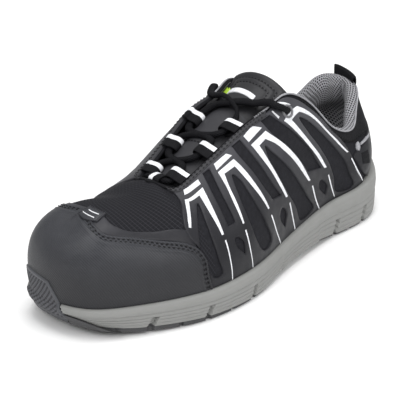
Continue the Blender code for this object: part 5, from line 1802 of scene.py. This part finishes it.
def lace_through(t):
    """Two points of the lace, where it enters and leaves the loop at section t."""
    _, along, _, _ = loop_frame(t)
    ahead = along if along[0] < 0 else -along
    place = lace_place(t)
    return [place - ahead * LOOP_WIDTH * 0.62, place + ahead * LOOP_WIDTH * 0.62]


def lace_end():
    """Points of the lace into the inner top eyelet."""
    t, h = 2.0 - TOP_EYELET[0], TOP_EYELET[1]
    ring_top = 0.0008 + EYELET_HEIGHT
    return [layer(t, h + 0.032, ring_top + 0.0022), layer(t, h + 0.006, ring_top + 0.0004),
            layer(t, h, -0.0030)]


# Where the first strand bends over the tongue, and its widths as shares of the lace's
FIRST_BEND = ((0.1000, 0.0090, 0.0985), (0.0957, 0.0014, 0.1028), (0.0910, -0.0100, 0.1036),
              (0.0885, -0.0178, 0.1008), (0.0862, -0.0232, 0.0996))
FIRST_WIDTHS = [0.66] + [0.72] * 7 + [0.42, 0.40, 0.50, 0.72, 0.80, 0.7, 0.5, 0.5]
SECOND_WIDTHS = [0.70] + [0.72] * 7 + [0.95, 1.05, 1.05, 1.05, 1.0, 1.0, 0.95, 0.7, 0.5]


def make_lace():
    """Two strands cross from the toe loop; one crosses over to each top eyelet."""
    toe = toe_lace_place()
    low, middle, high = LACE_LOOPS
    start = [toe + [0, -0.0030, 0], toe + [0, 0.0055, 0]]
    loops = [*lace_through(low), *lace_through(2.0 - middle), *lace_through(high)]
    parts = [strand("lace_first", [*start, *loops, *FIRST_BEND, *lace_end()], FIRST_WIDTHS)]
    start = [toe + [0, 0.0030, 0], toe + [0, -0.0055, 0]]
    loops = [*lace_through(2.0 - low), *lace_through(middle), *lace_through(2.0 - high)]
    bar = [tongue_point(0.0965, -0.50, 0.0030), tongue_point(0.0934, 0.06, 0.0036),
           tongue_point(0.0895, 0.32, 0.0042), tongue_point(0.0858, 0.54, 0.0048),
           skin(0.437, 1.0) + [0, 0, 0.0028], layer(0.420, 0.958, 0.0034), layer(0.404, 0.915, 0.0030),
           layer(0.390, 0.880, 0.0014), layer(0.388, 0.875, -0.0030)]
    parts.append(strand("lace_second", [*start, *loops, *bar], SECOND_WIDTHS))
    piece = joined("lace_braided", parts, "lace_webbing")
    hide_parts("lace")


make_lace()

# %% [markdown]
# Each top eyelet is a small rolled ring around the hole that the lace goes into.

# %% Eyelets
def make_eyelet(name, t, node):
    """Rolled ring around a top eyelet."""
    h = TOP_EYELET[1]
    middle = skin(t, h)
    normal = skin_normal(t, h)
    side = unit(np.cross([0.0, 0.0, 1.0], normal))
    up = np.cross(normal, side)
    near, far = EYELET_RADIUS - GAP, EYELET_RADIUS + 0.0012
    half = (far - near) / 2
    roll = np.linspace(0, math.tau, 21)[:-1]
    angle = np.linspace(0, math.tau, 65)[:-1]
    out = (near + far) / 2 + half * np.cos(roll)
    height = 0.0012 + 0.0009 * np.sin(roll)
    ray = side[None] * np.cos(angle)[:, None] + up[None] * np.sin(angle)[:, None]
    rings = middle + ray[:, None] * out[None, :, None] + normal * height[None, :, None]
    faces = grid_faces(64, 20, wrap_rows=True, wrap_columns=True)
    uv = grid_uv((angle * 0.4)[:, None], roll * 0.1)
    piece = add_piece(name, rings.reshape(-1, 3), faces, [eyelet_finish], uv=uv, sharp=80.0)
    return dress(piece, "eyelet_finish", node)


make_eyelet("eyelet_ring_outer", TOP_EYELET[0], "eyelet_outer")
make_eyelet("eyelet_ring_inner", 2.0 - TOP_EYELET[0], "eyelet_inner")

# %% [markdown]
# ## Collar and heel
# A light piping runs around the opening between the outer panel and the lining. At the back, a
# webbing pull folds over the rim, and a low film counter stiffens the heel.

# %% Piping
collar_t = np.linspace(-0.455, 0.455, 500)
edge = layer(collar_t, 0.992, 0.0)
rise = unit(skin(collar_t, 1.0) - skin(collar_t, 0.985))
piping_path = edge + rise * 0.0008 + skin_normal(collar_t, 0.97) * 0.0004
dress(tube("collar_piping", piping_path, 0.00055, 0.00055, (0, 0, 1.0), piping_grey, 10), "upper_textile")

seam_h = np.linspace(0.30, 0.985, 60)
seam_path = layer(0.0 * seam_h, seam_h, -wall(0.0 * seam_h, seam_h) - 0.0002)
dress(tube("lining_seam", seam_path, 0.0011, 0.0007, (0, 1.0, 0), piping_grey, 10), "upper_textile")

# %% [markdown]
# A thin welt and a row of stitches follow the lower edge of the collar's cloth. The mark on the heel is
# a plain dot with a bar and a small tag.

# %% The collar panel's seam and the mark on the heel
for side, which_side in SIDES:
    line = rounded(((0.352, 0.945), (0.300, 0.920), (0.228, 0.872), (0.192, 0.795), (0.149, 0.715),
                    (0.095, 0.520), (0.075, 0.440)), 1.0, False)
    t = line[:, 0] if side > 0 else 2.0 - line[:, 0]
    name = "panel_welt_" + which_side
    welt = layer(t, line[:, 1], 0.0003)
    dress(tube(name, welt, 0.0006, 0.0004, (0, 0, 1.0), collar_cloth, 10), "upper_textile")
    h = line[:, 1] + 0.028
    stitches(name + "_stitches", [(layer(t, h, 0.0007), skin_normal(t, h))], thread_black)

angle = math.tau * np.arange(32) / 32
dot = np.stack([0.163 + 0.0085 * np.cos(angle), 0.630 + 0.072 * np.sin(angle)], -1)
bar = band(rounded(((0.147, 0.600), (0.122, 0.530), (0.092, 0.440)), 0.8, False), 1.35)
tag = rounded(((0.160, 0.500), (0.128, 0.400), (0.130, 0.200), (0.162, 0.330)), 1.0, sharp=(0, 1, 2, 3))
parts = [patch("dot", [dot], piping_grey, 0.0004, 0.0008, 0.0003),
         patch("bar", [bar], piping_grey, 0.0003, FILM_TOP, 0.0002),
         patch("tag", [tag], collar_cloth, 0.0002, FILM_TOP - 0.00005, 0.0002)]
joined("heel_mark", parts, "coated_overlay")

# %% [markdown]
# The counter is one more patch. The pull is a band that climbs the heel, turns over above the rim and
# comes down inside.

# %% Heel counter and pull
COUNTER = ((0.132, 0.010), (0.152, 0.120), (0.168, 0.260), (0.181, 0.430), (0.188, 0.535), (0.182, 0.578),
           (0.150, 0.560), (0.100, 0.500), (0.050, 0.470), (0.000, 0.460))
COUNTER += tuple((-t, h) for t, h in COUNTER[-2::-1])
dress(patch("counter_film", [rounded(COUNTER, 1.0, sharp=(0, 18))], overlay_film, FILM, FILM_LIFT),
      "coated_overlay", "heel_counter")

PULL_REACH = 0.031
PULL_RISE = 0.0049


def make_pull():
    """Doubled webbing tab sewn to the back of the heel, standing up over the rim."""
    t = np.linspace(-PULL_REACH - 0.012, PULL_REACH + 0.003, 41)
    clear = 0.0004
    stations = [layer(t, h, clear) for h in (0.84, 0.90, 0.95)]
    edge = layer(t, 1.0, clear)
    peak = edge[:, 2].max() + PULL_RISE
    inward = -skin_normal(t, 0.97)
    for reach, height in ((0.0, 0.10), (-0.0002, 0.45), (0.0, 0.85), (0.0006, 0.99), (0.0014, 0.99),
                          (0.0020, 0.85), (0.0022, 0.45), (0.0024, 0.05)):
        row = edge + inward * reach
        row[:, 2] += (peak - 0.0026 * t / PULL_REACH - row[:, 2]) * height
        stations.append(row)
    stations = np.stack(stations)
    keys = np.linspace(0, len(stations) - 1, 90)
    low = np.clip(keys.astype(int), 0, len(stations) - 2)
    part = (keys - low)[:, None, None]
    before = stations[np.maximum(low - 1, 0)]
    a, b = stations[low], stations[low + 1]
    after = stations[np.minimum(low + 2, len(stations) - 1)]
    fine = a + 0.5 * part * (b - before + part * (2 * before - 5 * a + 4 * b - after
                                                  + part * (3 * (a - b) + after - before)))
    normal = unit(np.cross(np.gradient(fine, axis=1), np.gradient(fine, axis=0)))
    if normal[10, 20, 0] > 0:
        normal = -normal
    rim = 1 - np.abs(np.linspace(-1, 1, 41))**10 * 0.9
    top = fine + normal * (WEBBING * 0.8 * rim)[None, :, None]
    profile = np.concatenate([top, fine[:, ::-1]], 1)
    rows, wide = profile.shape[:2]
    faces = [tuple(f) for f in grid_faces(rows, wide, wrap_columns=True)]
    faces += end_faces(rows, wide)
    uv = grid_uv(np.concatenate([t, t[::-1]]) * 36, reached(fine[:, 20])[:, None] * 100)
    piece = add_piece("pull_tab", profile.reshape(-1, 3), faces, [webbing], uv=uv, sharp=70.0)
    return dress(piece, "lace_webbing", "heel_pull")


make_pull()

# %% [markdown]
# ## Light and floor
# A pale floor under an even white world. A broad lamp overhead models the shoe from above, and two weak
# ones, at the toe and at the outer side, lift the dark fabric enough to show its weave.


# %% Light and floor
LAMPS = (
    # name, place, target, size, watts
    ("overhead", (0.10, 0.05, 1.50), (0.10, 0, 0.05), (1.3, 1.0), 16),
    ("key", (1.15, 0.15, 0.95), (0.16, 0, 0.04), (0.9, 0.6), 5),
    ("side", (0.15, 1.30, 0.75), (0.08, 0, 0.04), (1.0, 0.6), 8),
)


def area_light(name, place, target, size, power):
    light = bpy.data.lights.new(name, "AREA")
    light.shape = "RECTANGLE"
    light.size, light.size_y = size
    light.energy = power
    lamp = bpy.data.objects.new(name, light)
    lamp.location = place
    lamp.rotation_euler = (Vector(target) - Vector(place)).to_track_quat("-Z", "Y").to_euler()
    bpy.context.collection.objects.link(lamp)


def make_stage():
    mesh = bpy.data.meshes.new("floor")
    mesh.from_pydata([(-6, -6, 0), (6, -6, 0), (6, 6, 0), (-6, 6, 0)], [], [(0, 1, 2, 3)])
    floor = bpy.data.objects.new("floor", mesh)
    pale = bpy.data.materials.new("pale_floor")
    pale.use_nodes = True
    shader = pale.node_tree.nodes["Principled BSDF"]
    shader.inputs["Base Color"].default_value = (0.92, 0.92, 0.92, 1)
    shader.inputs["Roughness"].default_value = 0.9
    mesh.materials.append(pale)
    bpy.context.collection.objects.link(floor)
    world = bpy.data.worlds.new("studio")
    world.use_nodes = True
    world.node_tree.nodes["Background"].inputs["Color"].default_value = (1, 1, 1, 1)
    world.node_tree.nodes["Background"].inputs["Strength"].default_value = 0.60
    bpy.context.scene.world = world
    for lamp in LAMPS:
        area_light(*lamp)


make_stage()
bpy.context.scene.view_settings.view_transform = "Standard"
print("lamps:", len(bpy.data.lights))
